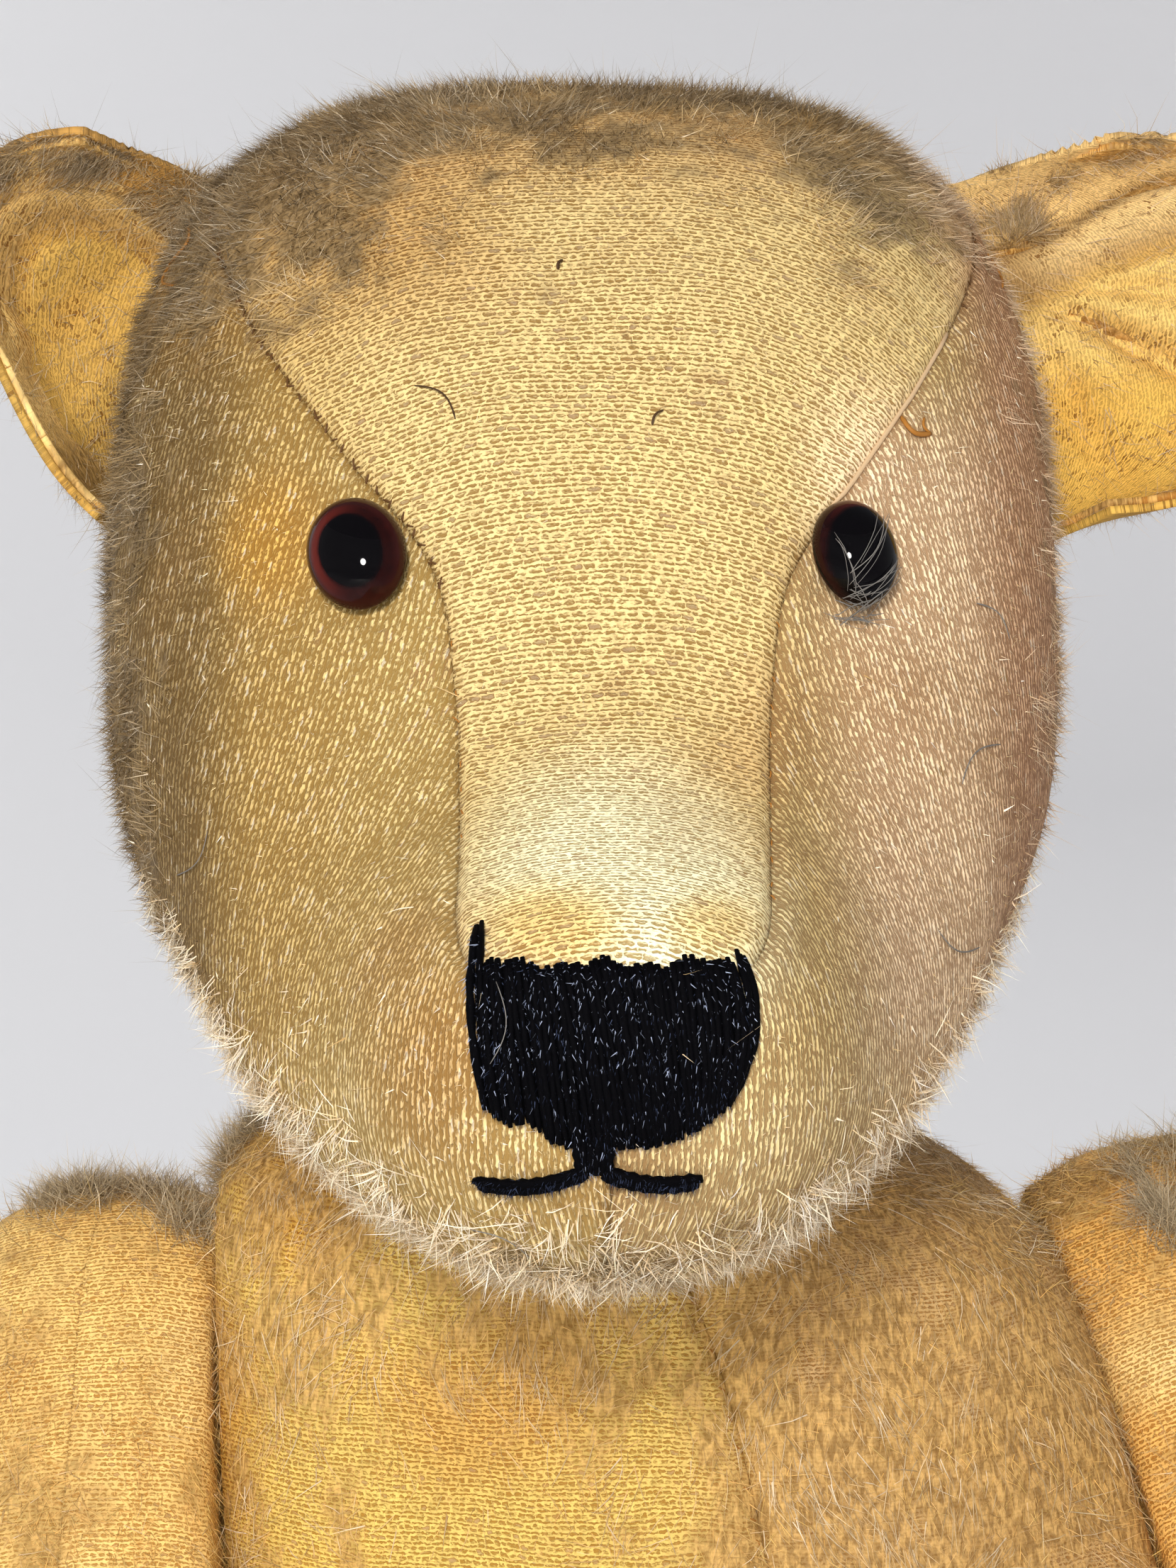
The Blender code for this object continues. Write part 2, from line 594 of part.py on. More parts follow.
def main():
    for old in list(bpy.data.objects):
        bpy.data.objects.remove(old, do_unlink=True)
    material("mohair", (0.68, 0.46, 0.2), 0.95)
    material("cotton", (0.75, 0.48, 0.16), 0.9)
    material("felt", (0.72, 0.55, 0.3), 0.95)
    material("wood_wool", (0.75, 0.62, 0.38), 0.9)
    material("floss", (0.01, 0.01, 0.015), 0.5)
    material("glass", (0.09, 0.02, 0.01), 0.05)
    material("steel", (0.45, 0.45, 0.45), 0.4, 1.0)
    material("hardboard", (0.3, 0.18, 0.09), 0.8)
    bear = collection("teddy_bear")
    cutters = collection("cutters", hidden=True)
    for name, frame in FRAMES.items():
        cutter(f"{name}_pin_hole", frame, PIN + 0.4, -12, 12, cutters)
    surface = head_surface()
    eye_frames = eyes(surface, bear, cutters)
    held = head(bear, cutters)
    dress_eyes(eye_frames, held, bear)
    nose_and_mouth(surface, held, bear)
    ears(held, bear)
    torso(bear, cutters)
    for name in ("left", "right"):
        limb("arm", name, ARM, ARM_SQUARE, PAW_PAD_FROM, SHOULDER_DISC, bear, cutters)
        limb("leg", name, LEG, LEG_SQUARE, None, HIP_DISC, bear, cutters)
    bpy.context.view_layer.update()


main()
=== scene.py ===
import math
import random

import bmesh
import bpy
import numpy as np
from mathutils import Matrix, Vector, noise
from mathutils.bvhtree import BVHTree


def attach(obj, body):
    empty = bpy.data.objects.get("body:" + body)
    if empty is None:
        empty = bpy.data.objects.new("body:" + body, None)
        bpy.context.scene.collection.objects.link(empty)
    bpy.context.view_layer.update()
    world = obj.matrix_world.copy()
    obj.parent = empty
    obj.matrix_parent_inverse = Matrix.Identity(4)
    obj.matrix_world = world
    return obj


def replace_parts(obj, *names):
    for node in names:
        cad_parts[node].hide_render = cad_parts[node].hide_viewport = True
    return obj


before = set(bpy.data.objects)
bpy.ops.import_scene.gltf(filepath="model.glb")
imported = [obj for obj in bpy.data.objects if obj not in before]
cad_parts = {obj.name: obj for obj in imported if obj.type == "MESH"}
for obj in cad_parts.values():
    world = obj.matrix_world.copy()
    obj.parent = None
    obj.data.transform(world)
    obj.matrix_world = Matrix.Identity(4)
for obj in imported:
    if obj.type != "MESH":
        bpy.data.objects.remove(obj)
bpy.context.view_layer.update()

# Lengths are in millimetres, except where a comment says metres. They become metres as each
# mesh is placed.


# Studio. A pale floor that sweeps up into a pale wall all round, a small lamp beside the lens
# for the main light, and large soft panels overhead, at both sides and behind.

# The room's radius and height, and the radius of its sweep, in metres.
STUDIO_RADIUS, STUDIO_HEIGHT, SWEEP = 1.5, 1.6, 0.5
SWEEP_STEPS = 12
PALE = (0.86, 0.86, 0.87)


def plain_stage_material(name, colour):
    made = bpy.data.materials.new(name)
    made.use_nodes = True
    shader = made.node_tree.nodes["Principled BSDF"]
    shader.inputs["Base Color"].default_value = (*colour, 1)
    shader.inputs["Roughness"].default_value = 0.9
    return made


profile = bmesh.new()
points = [profile.verts.new((x, 0, 0)) for x in (0, 0.5, STUDIO_RADIUS - SWEEP)]
for step in range(1, SWEEP_STEPS + 1):
    turn = math.pi / 2 * step / SWEEP_STEPS
    across = STUDIO_RADIUS - SWEEP + SWEEP * math.sin(turn)
    points.append(profile.verts.new((across, 0, SWEEP * (1 - math.cos(turn)))))
points.append(profile.verts.new((STUDIO_RADIUS, 0, STUDIO_HEIGHT)))
edges = [profile.edges.new(pair) for pair in zip(points, points[1:])]
bmesh.ops.spin(
    profile, geom=points + edges, cent=(0, 0, 0), axis=(0, 0, 1), angle=2 * math.pi, steps=96,
    use_merge=True,
)
bmesh.ops.remove_doubles(profile, verts=profile.verts, dist=0.0001)
for face in profile.faces:
    if face.normal.dot(Vector((0, 0, 0.9)) - face.calc_center_median()) < 0:
        face.normal_flip()
sweep_mesh = bpy.data.meshes.new("studio_sweep")
profile.to_mesh(sweep_mesh)
profile.free()
sweep_mesh.shade_smooth()
sweep_mesh.materials.append(plain_stage_material("studio_paper", PALE))
studio = bpy.data.objects.new("studio_sweep", sweep_mesh)
bpy.context.scene.collection.objects.link(studio)


def lamp(name, place, aim, size, power, colour, mirrored=False):
    """A round panel of light, in metres and watts. The camera never sees it."""
    light = bpy.data.lights.new(name, "AREA")
    light.shape = "DISK"
    light.size = size
    light.energy = power
    light.color = colour
    made = bpy.data.objects.new(name, light)
    made.location = place
    made.rotation_mode = "QUATERNION"
    made.rotation_quaternion = (Vector(aim) - Vector(place)).to_track_quat("-Z", "Y")
    made.visible_camera = False
    made.visible_glossy = mirrored
    bpy.context.scene.collection.objects.link(made)


lamp("lens_lamp", (-0.035, -0.35, 0.265), (0, -0.06, 0.195), 0.05, 0.74, (1, 0.97, 0.93), True)
for name, *settings in (
    ("top_panel", (-0.2, -0.2, 1.2), (0, 0, 0.15), 0.9, 1.3, (1, 0.99, 0.97)),
    ("left_panel", (-1.0, -0.5, 0.4), (0, 0, 0.12), 0.6, 1.0, (1, 0.98, 0.95)),
    ("right_panel", (1.0, -0.3, 0.4), (0, 0, 0.12), 0.6, 0.2, (1, 0.94, 0.92)),
    ("low_panel", (-0.1, -0.7, 0.2), (0, 0, 0.1), 0.35, 1.7, (1, 0.96, 0.9)),
    ("back_panel", (0.2, 1.1, 0.7), (0, 0, 0.15), 0.7, 1.2, (1, 0.99, 0.97)),
    ("wall_panel_left", (-0.8, 0.5, 1.1), (-0.3, 1.5, 0.3), 0.6, 5.6, (1, 1, 1)),
    ("wall_panel_right", (0.8, 0.5, 1.1), (0.35, 1.5, 0.3), 0.6, 1.8, (1, 0.97, 0.97)),
):
    lamp(name, *settings)

world = bpy.data.worlds.new("studio_air")
world.use_nodes = True
air = world.node_tree.nodes["Background"].inputs
air["Color"].default_value = (0.9, 0.93, 1, 1)
air["Strength"].default_value = 0.2
bpy.context.scene.world = world
bpy.context.scene.view_settings.view_transform = "Standard"

lens = bpy.data.cameras.new("camera")
lens.lens = 54.05
lens.sensor_width = 36
lens.clip_start = 0.01
camera = bpy.data.objects.new("camera", lens)
camera.location = (-0.0062, -0.265, 0.19)
camera.rotation_euler = (math.pi / 2, 0, math.radians(-1.6))
bpy.context.scene.collection.objects.link(camera)
bpy.context.scene.camera = camera


# Head cloth. Three panels of mohair plush on a woven cotton backing, sewn face to face and
# turned: a gusset from the nose over the crown to the back of the neck, and two sides. The
# plush is rubbed away over the face, so the bare weave shows, and the rest is matted pile.

MM = 0.001
# How thick the cloth is, how wide a seam's shade is, and how close points are merged.
CLOTH, SEAM_WIDTH, MERGED = 1.2, 0.5, 0.02

# One row a section from the nose to the back of the head: y and z of the section's top, y and
# z of its bottom, how far up its widest line lies, its half width, half the width of the
# gusset, how far the gusset lies to the bear's left, and how square it is above and below.
HEAD = (
    (-104.0, 172.1, -104.0, 172.1, 0.5, 0.0, 0.0, 0.0, 2.0, 2.0),
    (-103.6, 177.0, -103.5, 166.5, 0.5, 8.0, 6.0, 0.0, 2.1, 2.0),
    (-101.0, 180.2, -101.2, 160.8, 0.5, 12.8, 9.8, 0.0, 2.2, 2.0),
    (-95.5, 182.8, -95.8, 155.6, 0.5, 17.0, 11.4, 0.3, 2.2, 2.0),
    (-86.0, 186.8, -87.0, 152.0, 0.5, 21.2, 12.0, 0.8, 2.2, 2.0),
    (-76.5, 191.5, -76.5, 150.9, 0.47, 26.2, 12.6, 1.2, 2.2, 2.0),
    (-69.5, 199.0, -66.5, 150.9, 0.46, 30.8, 13.2, 1.4, 2.2, 2.0),
    (-65.5, 210.0, -57.5, 151.0, 0.45, 34.5, 15.2, 1.4, 2.3, 2.0),
    (-60.8, 223.0, -49.5, 151.0, 0.45, 38.0, 22.5, 1.0, 2.4, 2.0),
    (-53.0, 238.5, -42.0, 150.0, 0.46, 42.0, 30.5, 0.8, 2.6, 2.0),
    (-40.0, 253.0, -34.0, 149.0, 0.47, 45.8, 36.5, 1.0, 2.9, 2.0),
    (-20.0, 262.4, -20.0, 148.5, 0.48, 47.8, 38.5, 1.0, 3.2, 2.0),
    (0.0, 260.4, 0.0, 148.5, 0.49, 47.0, 35.0, 0.5, 3.0, 2.0),
    (17.0, 248.5, 16.0, 150.0, 0.5, 42.5, 27.0, 0.0, 2.6, 2.0),
    (28.0, 230.5, 26.0, 158.0, 0.5, 34.0, 18.0, 0.0, 2.3, 2.0),
    (33.5, 212.0, 33.0, 176.0, 0.5, 19.0, 9.0, 0.0, 2.1, 2.0),
    (35.0, 194.2, 35.0, 194.2, 0.5, 0.0, 0.0, 0.0, 2.0, 2.0),
)
HEAD_FLOOR, CHIN_FLOOR = 156.4, 150.8
NECK_FLAT, CHIN_REACH = 31, 51


def smoothstep(value):
    value = np.clip(value, 0, 1)
    return value * value * (3 - 2 * value)


def between(rows, place):
    """The row at a fractional place in a table, on a smooth curve through its rows."""
    rows = np.asarray(rows)
    first = min(int(place), len(rows) - 2)
    f = place - first
    p, q, r, s = (rows[min(max(first + k, 0), len(rows) - 1)] for k in (-1, 0, 1, 2))
    ease = (f * f * (2 - f) - f, 3 * f**3 - 5 * f * f + 2, 4 * f * f + f - 3 * f**3, f**3 - f * f)
    return 0.5 * (ease[0] * p + ease[1] * q + ease[2] * r + ease[3] * s)


def squared(turns, square):
    """(across, up) of a squared circle of radius 1 at angles from its top."""
    s, c = np.sin(turns), np.cos(turns)
    size = (np.abs(s) ** square + np.abs(c) ** square) ** (-1 / square)
    return s * size, c * size


def head_ring(section, turns):
    """Points round one section of the head: turn is 0 along its top and pi underneath."""
    top_y, top_z, low_y, low_z, rise, half, _, _, above, below = between(HEAD, section)
    across, up = squared(turns, np.where(np.cos(turns) > 0, above, below))
    wide_y, wide_z = low_y + (top_y - low_y) * rise, low_z + (top_z - low_z) * rise
    end_y, end_z = np.where(up > 0, top_y, low_y), np.where(up > 0, top_z, low_z)
    x = half * across
    y = wide_y + (end_y - wide_y) * np.abs(up)
    z = wide_z + (end_z - wide_z) * np.abs(up)
    fall = smoothstep((np.hypot(x, y) - NECK_FLAT) / (CHIN_REACH - NECK_FLAT))
    return np.column_stack((x, y, np.maximum(z, HEAD_FLOOR + (CHIN_FLOOR - HEAD_FLOOR) * fall)))


def gusset_turn(section, side):
    half, gusset, shift, above = between(HEAD, section)[5:9]
    share = min(max(gusset + side * shift, 0.01) / max(half, 0.02), 0.95)
    return side * math.atan(share / (1 - share**above) ** (1 / above))


def lumps(point, size, seed):
    return noise.noise(Vector(point) / size + Vector((seed, 0, 0)))


def cloth_grid(rings, seams, spacing, centre_u=False):
    """Lays columns of points across rings of points, close together at each seam.

    Returns the points and their two lengths along the cloth, all as arrays of rows by columns.
    """
    edge = np.array((0, 0.35, 0.7, 1.1, 1.6, 2.3, 3.2))
    lengths = [np.r_[0, np.cumsum(np.linalg.norm(np.diff(ring, axis=0), axis=1))] for ring in rings]
    count = max(int(max(length[-1] for length in lengths) / spacing), 8)
    points, us = [], []
    for ring, length in zip(rings, lengths):
        total = length[-1]
        near = edge * min(1, total / 16)
        first, last = (near if seams[0] else near[:1]), (near if seams[1] else near[:1])
        middle = np.linspace(first[-1], total - last[-1], count + 1)[1:-1]
        along = np.r_[first, middle, (total - last)[::-1]]
        points.append(np.column_stack([np.interp(along, length, ring[:, k]) for k in range(3)]))
        us.append(along - total / 2 if centre_u else along)
    points, us = np.array(points), np.array(us)
    middle = points[:, points.shape[1] // 2]
    vs = np.r_[0, np.cumsum(np.linalg.norm(np.diff(middle, axis=0), axis=1))]
    seam = np.full(us.shape, 99.0)
    if seams[0]:
        seam = np.minimum(seam, us - us[:, :1])
    if seams[1]:
        seam = np.minimum(seam, us[:, -1:] - us)
    return points, us, np.repeat(vs[:, None], us.shape[1], 1), seam


def cloth_piece(name, grid, middle, masks, shape=None, thick=CLOTH):
    """A panel of cloth from a grid of points, with its weave's UVs and its masks as attributes.

    masks names functions of the points (an array) that give values from 0 to 1. shape moves
    the points once they have normals.
    """
    points, us, vs, seam = grid
    rows, columns = us.shape
    mesh = bmesh.new()
    bmesh.ops.create_grid(mesh, x_segments=rows - 1, y_segments=columns - 1, size=0.5)
    mesh.verts.ensure_lookup_table()
    at = [
        (round((v.co.x + 0.5) * (rows - 1)), round((v.co.y + 0.5) * (columns - 1))) for v in mesh.verts
    ]
    for vertex, place in zip(mesh.verts, at):
        vertex.co = points[place]
    mesh.normal_update()
    if sum(f.normal.dot(f.calc_center_median() - Vector(middle)) for f in mesh.faces) < 0:
        bmesh.ops.reverse_faces(mesh, faces=mesh.faces)
        mesh.normal_update()
    uv = mesh.loops.layers.uv.new("weave")
    for vertex, (i, j) in zip(mesh.verts, at):
        for loop in vertex.link_loops:
            loop[uv].uv = (us[i, j], vs[i, j])
    flat = np.array([v.co for v in mesh.verts])
    near_seam = np.array([seam[place] for place in at])
    normals = np.array([v.normal for v in mesh.verts])
    if shape is not None:
        moved = shape(flat, normals, near_seam)
        for vertex, co in zip(mesh.verts, moved):
            vertex.co = co
    for mask_name, mask in {**masks, "seam": lambda p: np.exp(-((near_seam / SEAM_WIDTH) ** 2))}.items():
        layer = mesh.verts.layers.float.new(mask_name)
        for vertex, value in zip(mesh.verts, mask(flat)):
            vertex[layer] = float(value)
    bmesh.ops.remove_doubles(mesh, verts=mesh.verts, dist=MERGED)
    bmesh.ops.scale(mesh, vec=(MM, MM, MM), verts=mesh.verts)
    data = bpy.data.meshes.new(name)
    mesh.to_mesh(data)
    mesh.free()
    data.shade_smooth()
    made = bpy.data.objects.new(name, data)
    bpy.context.scene.collection.objects.link(made)
    shell = made.modifiers.new("cloth", "SOLIDIFY")
    shell.thickness = thick * MM
    shell.offset = -1
    return made


class Nodes:
    """Makes the nodes of one material or group. An input is a number, a tuple or an output."""

    def __init__(self, tree):
        self.tree = tree

    def put(self, socket, given):
        if isinstance(given, (int, float)):
            socket.default_value = given
        elif isinstance(given, tuple):
            socket.default_value = (*given, 1) if len(socket.default_value) == 4 else given
        else:
            self.tree.links.new(given, socket)

    def new(self, kind, inputs=()):
        made = self.tree.nodes.new("ShaderNode" + kind)
        for socket, given in dict(inputs).items():
            self.put(made.inputs[socket], given)
        return made

    def value(self, operation, *values):
        made = self.new("Math", enumerate(values))
        made.operation = operation
        return made.outputs[0]

    def ramp(self, value, low, high):
        """0 below low, 1 above high and smooth between them."""
        made = self.new("MapRange", {"Value": value, "From Min": low, "From Max": high})
        made.interpolation_type = "SMOOTHSTEP"
        return made.outputs["Result"]

    def noise(self, scale, detail=2.0, vector=None, distortion=0.0, output="Fac"):
        if vector is None:
            vector = self.new("TexCoord").outputs["Object"]
        inputs = {"Vector": vector, "Scale": scale, "Detail": detail, "Distortion": distortion}
        return self.new("TexNoise", inputs).outputs[output]

    def mix(self, share, first, second, kind="MIX"):
        """A colour between first and second."""
        made = self.new("Mix")
        made.data_type, made.blend_type, made.clamp_factor = "RGBA", kind, True
        for socket, given in ((0, share), (6, first), (7, second)):
            self.put(made.inputs[socket], given)
        return made.outputs[2]

    def attribute(self, name, output="Fac"):
        made = self.new("Attribute")
        made.attribute_name = name
        return made.outputs[output]

    def uv(self, name):
        made = self.new("UVMap")
        made.uv_map = name
        return made.outputs[0]

    def stretched(self, vector, *scale):
        return self.new("Mapping", {"Vector": vector, "Scale": scale}).outputs[0]

    def parts(self, vector):
        return self.new("SeparateXYZ", {0: vector}).outputs

    def surface(self, colour, height=None, strength=1.0, distance=0.0002):
        """Gives the material's own shader its colour, and a bump whose distance is in metres."""
        shader = self.tree.nodes["Principled BSDF"]
        self.put(shader.inputs["Base Color"], colour)
        if height is not None:
            bump = self.new("Bump", {"Height": height, "Strength": strength, "Distance": distance})
            self.put(shader.inputs["Normal"], bump.outputs[0])


def linear(red, green, blue):
    """A colour given as it looks, from 0 to 255, in the renderer's own units."""
    shares = (c / 255 for c in (red, green, blue))
    return tuple(((c + 0.055) / 1.055) ** 2.4 if c > 10 / 255 else c / 12.92 for c in shares)


def new_material(name, roughness, **constants):
    made = bpy.data.materials.new(name)
    made.use_nodes = True
    shader = made.node_tree.nodes["Principled BSDF"]
    shader.inputs["Roughness"].default_value = roughness
    for socket, value in constants.items():
        shader.inputs[socket.replace("_", " ")].default_value = value
    return made, Nodes(made.node_tree)


# Where, in one repeat of the weave, the middle of the hollows and of the slit lie.
HOLLOW_ROW, SLIT_ROW = 0.26, 0.74


def worn_weave_group():
    """The bare backing: two bright wefts, then a row of soft hollows where pile tufts once sat.

    UVs are in millimetres. Period is the height of one such repeat and Pitch is from hollow to
    hollow. Ribbed is 0 for cloth seen square on and 1 for cloth whose wefts stand out in ribs.
    """
    group = bpy.data.node_groups.new("worn_weave", "ShaderNodeTree")
    for name in ("UV", "Period", "Pitch", "Ribbed"):
        kind = "NodeSocketVector" if name == "UV" else "NodeSocketFloat"
        group.interface.new_socket(name, in_out="INPUT", socket_type=kind)
    for name in ("Thread", "Hollow", "Fleck", "Spark"):
        group.interface.new_socket(name, in_out="OUTPUT", socket_type="NodeSocketFloat")
    nodes = Nodes(group)
    given, result = group.nodes.new("NodeGroupInput").outputs, group.nodes.new("NodeGroupOutput")
    value, ramp = nodes.value, nodes.ramp

    def wander(scale, detail):
        return nodes.parts(nodes.noise(scale, detail, given["UV"], output="Color"))

    def random_value(*cell):
        made = nodes.new("TexWhiteNoise", {"Vector": nodes.new("CombineXYZ", enumerate(cell)).outputs[0]})
        return made.outputs["Value"]

    along, up = nodes.parts(given["UV"])[:2]
    wide, close, tiny = wander(0.07, 1), wander(0.9, 1), wander(3.2, 0)
    y = value("MULTIPLY_ADD", wide[1], 2.0, value("MULTIPLY_ADD", close[1], 0.36, up))
    x = value("MULTIPLY_ADD", wide[0], 2.0, value("MULTIPLY_ADD", close[0], 0.9, along))
    y = value("MULTIPLY_ADD", tiny[1], 0.26, y)
    x = value("MULTIPLY_ADD", tiny[0], 0.5, x)
    rows = value("DIVIDE", y, given["Period"])
    row, height = value("FLOOR", rows), value("FRACT", rows)
    loose = value("MULTIPLY_ADD", given["Ribbed"], 0.7, 0.3)
    staggered = value("MULTIPLY", value("MODULO", row, 2.0), 0.5)
    shift = value("MULTIPLY_ADD", random_value(row), loose, staggered)
    columns = value("ADD", value("DIVIDE", x, given["Pitch"]), shift)
    column, step = value("FLOOR", columns), value("FRACT", columns)
    own = random_value(row, column)

    band_half = value("MULTIPLY_ADD", own, 0.05, 0.17)
    side_half = value("MULTIPLY_ADD", own, 0.08, 0.36)
    band_off = value("ABSOLUTE", value("DIVIDE", value("SUBTRACT", height, HOLLOW_ROW), band_half))
    side_off = value("ABSOLUTE", value("DIVIDE", value("SUBTRACT", step, 0.5), side_half))
    oval = value("ADD", value("POWER", band_off, 2.6), value("POWER", side_off, 4.0))
    # Each hollow is painted darkest at its lower edge: a painted shadow inside it.
    under = value("MULTIPLY_ADD", value("SUBTRACT", HOLLOW_ROW, height), 1.6, 0.46)
    hollow = value("MULTIPLY", ramp(oval, 1.5, 0.7), value("MULTIPLY_ADD", own, 0.35, under))
    slit = ramp(value("ABSOLUTE", value("SUBTRACT", height, SLIT_ROW)), 0.13, 0.05)
    wave = value("COSINE", value("MULTIPLY", value("ADD", step, own), 2 * math.pi))
    slit = value("MULTIPLY", slit, value("MULTIPLY_ADD", ramp(wave, -0.95, -0.5), 0.68, 0.32))
    # The hollows and the slit together are where painted shade falls between the threads.
    plain = value("MAXIMUM", hollow, slit)

    slant = value("MULTIPLY_ADD", height, 0.12, step)
    rib = ramp(value("ABSOLUTE", value("SUBTRACT", height, 0.5)), 0.42, 0.1)
    dash = ramp(value("COSINE", value("MULTIPLY", slant, 2 * math.pi)), -1.05, -0.3)
    dash = value("MULTIPLY", rib, value("MULTIPLY_ADD", dash, 0.6, 0.4))
    dash = value("MULTIPLY", dash, value("MULTIPLY_ADD", own, 0.75, 0.42))
    ribbed = value("SUBTRACT", 1.0, dash)
    ribbed_by = value("MULTIPLY", value("SUBTRACT", ribbed, plain), given["Ribbed"])
    strands = nodes.noise(5, 2, nodes.stretched(given["UV"], 0.5, 1.3, 1))
    rough = value("MULTIPLY", value("SUBTRACT", strands, 0.5), 2.3)
    deep = ramp(value("ADD", value("ADD", plain, ribbed_by), rough), 0.08, 0.9)
    # A few thread tips are painted near white: painted highlights, as glints.
    painted_glint = value("MULTIPLY", ramp(own, 0.86, 0.92), ramp(oval, 0.6, 0.1))
    made = {"Thread": value("SUBTRACT", 1.0, deep), "Hollow": deep, "Fleck": own, "Spark": painted_glint}
    for name, output in made.items():
        group.links.new(output, result.inputs[name])
    return group


worn_weave = worn_weave_group()


def woven(nodes, period, pitch, ribbed=0.0):
    """The worn weave's outputs, over a piece's own UVs, in one material."""
    made = nodes.new("Group")
    made.node_tree = worn_weave
    inputs = {"Period": period, "Pitch": pitch, "Ribbed": ribbed, "UV": nodes.uv("weave")}
    for socket, given in inputs.items():
        nodes.put(made.inputs[socket], given)
    return made.outputs


def worn_cloth(name, weave, painted_hollow_shade, fuzz_colours, stub_colours, seam_shade=0.22):
    """Mohair cloth: colour, with some painted light and shade, is in the tint attribute; pile says the fuzz
    left.

    weave is its period, its pitch and how ribbed it is. The hollow shade multiplies the tint
    between the threads: it is painted shade in the weave's hollows. The fuzz is more golden behind.
    """
    made, nodes = new_material(name, 0.75, Specular_IOR_Level=0.25)
    value, ramp, mix = nodes.value, nodes.ramp, nodes.mix
    cloth = woven(nodes, *weave)
    hollow = cloth["Hollow"]
    pile = nodes.attribute("pile")
    place = nodes.new("TexCoord").outputs["Object"]
    fuzz = nodes.noise(1300, 3, nodes.stretched(place, 1.3, 1.3, 0.5), 0.6)
    soft = nodes.noise(260, 3)
    matted = value("MULTIPLY_ADD", value("SUBTRACT", soft, 0.5), 1.5, pile)
    matted = value("MULTIPLY_ADD", value("SUBTRACT", fuzz, 0.5), 0.9, matted)
    matted = ramp(matted, 0.2, 0.85)
    tint = nodes.attribute("tint", "Color")
    bright = mix(1.0, tint, value("MULTIPLY_ADD", fuzz, 0.9, 0.62), "MULTIPLY")
    # Between the threads the tint is darkened by the hollow shade: painted shade in the hollows.
    bare = mix(hollow, bright, mix(1.0, tint, painted_hollow_shade, "MULTIPLY"))
    stubs = value("MULTIPLY_ADD", nodes.noise(420, 2), 1.2, cloth["Fleck"])
    left_in = ramp(value("MULTIPLY_ADD", nodes.attribute("stain"), 0.6, stubs), 1.5, 1.8)
    left_in = value("MULTIPLY", left_in, value("MULTIPLY_ADD", hollow, 0.75, 0.25))
    bare = mix(value("MULTIPLY", left_in, 0.85), bare, mix(fuzz, *stub_colours))
    # Painted glints: near-white specks on the threads, stronger on ribbed cloth.
    painted_glints = value("MULTIPLY", cloth["Spark"], 0.3 * weave[2] + 0.1)
    bare = mix(painted_glints, bare, linear(255, 246, 222))
    fuzz_lit = ramp(fuzz, 0.35, 0.68)
    golden = mix(fuzz_lit, linear(118, 90, 52), linear(194, 158, 100))
    behind = ramp(nodes.parts(place)[1], -0.024, 0.002)
    furry = mix(behind, mix(fuzz_lit, *fuzz_colours), golden)
    colour = mix(value("MULTIPLY", matted, 0.8), bare, furry)
    sewn = value("MULTIPLY", nodes.attribute("seam"), seam_shade)
    colour = mix(sewn, colour, linear(110, 75, 38))
    flat = value("MULTIPLY", cloth["Thread"], value("SUBTRACT", 1.0, matted))
    ruffled = value("MULTIPLY", fuzz, value("MULTIPLY_ADD", matted, 1.3, 0.5))
    nodes.surface(colour, value("ADD", flat, ruffled), 0.8, 0.00016)
    return made


def spots(points, places):
    """The strength, from 0 to 1, of ragged spots: each place is a point, a radius and a strength."""
    total = np.zeros(len(points))
    for *centre, radius, strength in places:
        away = np.linalg.norm(points - np.array(centre), axis=1)
        near = away < radius * 2
        ragged = np.array([lumps(p, 2.6, 11) for p in points[near]])
        total[near] += strength * smoothstep(1.6 - (away[near] - 0.8 * radius * ragged) / radius)
    return np.clip(total, 0, 1)


def patches(points, size, seed):
    return np.array([lumps(p, size, seed) + 0.5 * lumps(p, size * 0.4, seed + 5) for p in points])


def upright_weave(grid):
    """Turns a side panel's weave so that its ribs run up the cheek and lean in at the top."""
    points, _, _, seam = grid
    x, y, z = np.abs(points[..., 0]), points[..., 1], points[..., 2]
    return points, 0.9 * z + 0.4 * y, 0.9 * x - 8 * np.exp(-x / 12) + 0.5 * y + 0.15 * z, seam


# The eyes' x and z, and the dimples they sit in. Each stain is its centre, its radius and its strength.
EYE_LEFT, EYE_RIGHT = (21.8, 209.3), (-19.9, 209.1)
DIMPLE_DEPTH, DIMPLE_RADIUS = 1.1, 5.2
HEAD_STAINS = (
    (8.5, -60, 224, 2.6, 0.8), (10.5, -59, 226, 1.6, 0.7), (20.5, -57, 224.5, 1.3, 0.6),
    (3, -68, 199.5, 3.0, 0.55), (-1, -72, 196.5, 2.2, 0.5), (14.5, -68, 199, 2.2, 0.5),
    (-13.5, -68, 199.5, 2.6, 0.7), (-12, -70, 196, 1.8, 0.6), (-6, -56, 233, 1.6, 0.4),
    (2, -58, 229, 1.4, 0.45), (-17, -50, 238, 2.2, 0.4), (12, -50, 240, 2.4, 0.4),
    (-28, -52, 228, 2.0, 0.4), (27, -50, 232, 2.4, 0.45), (-21, -70, 186, 2.4, 0.4),
    (18, -82, 176, 1.6, 0.35),
)


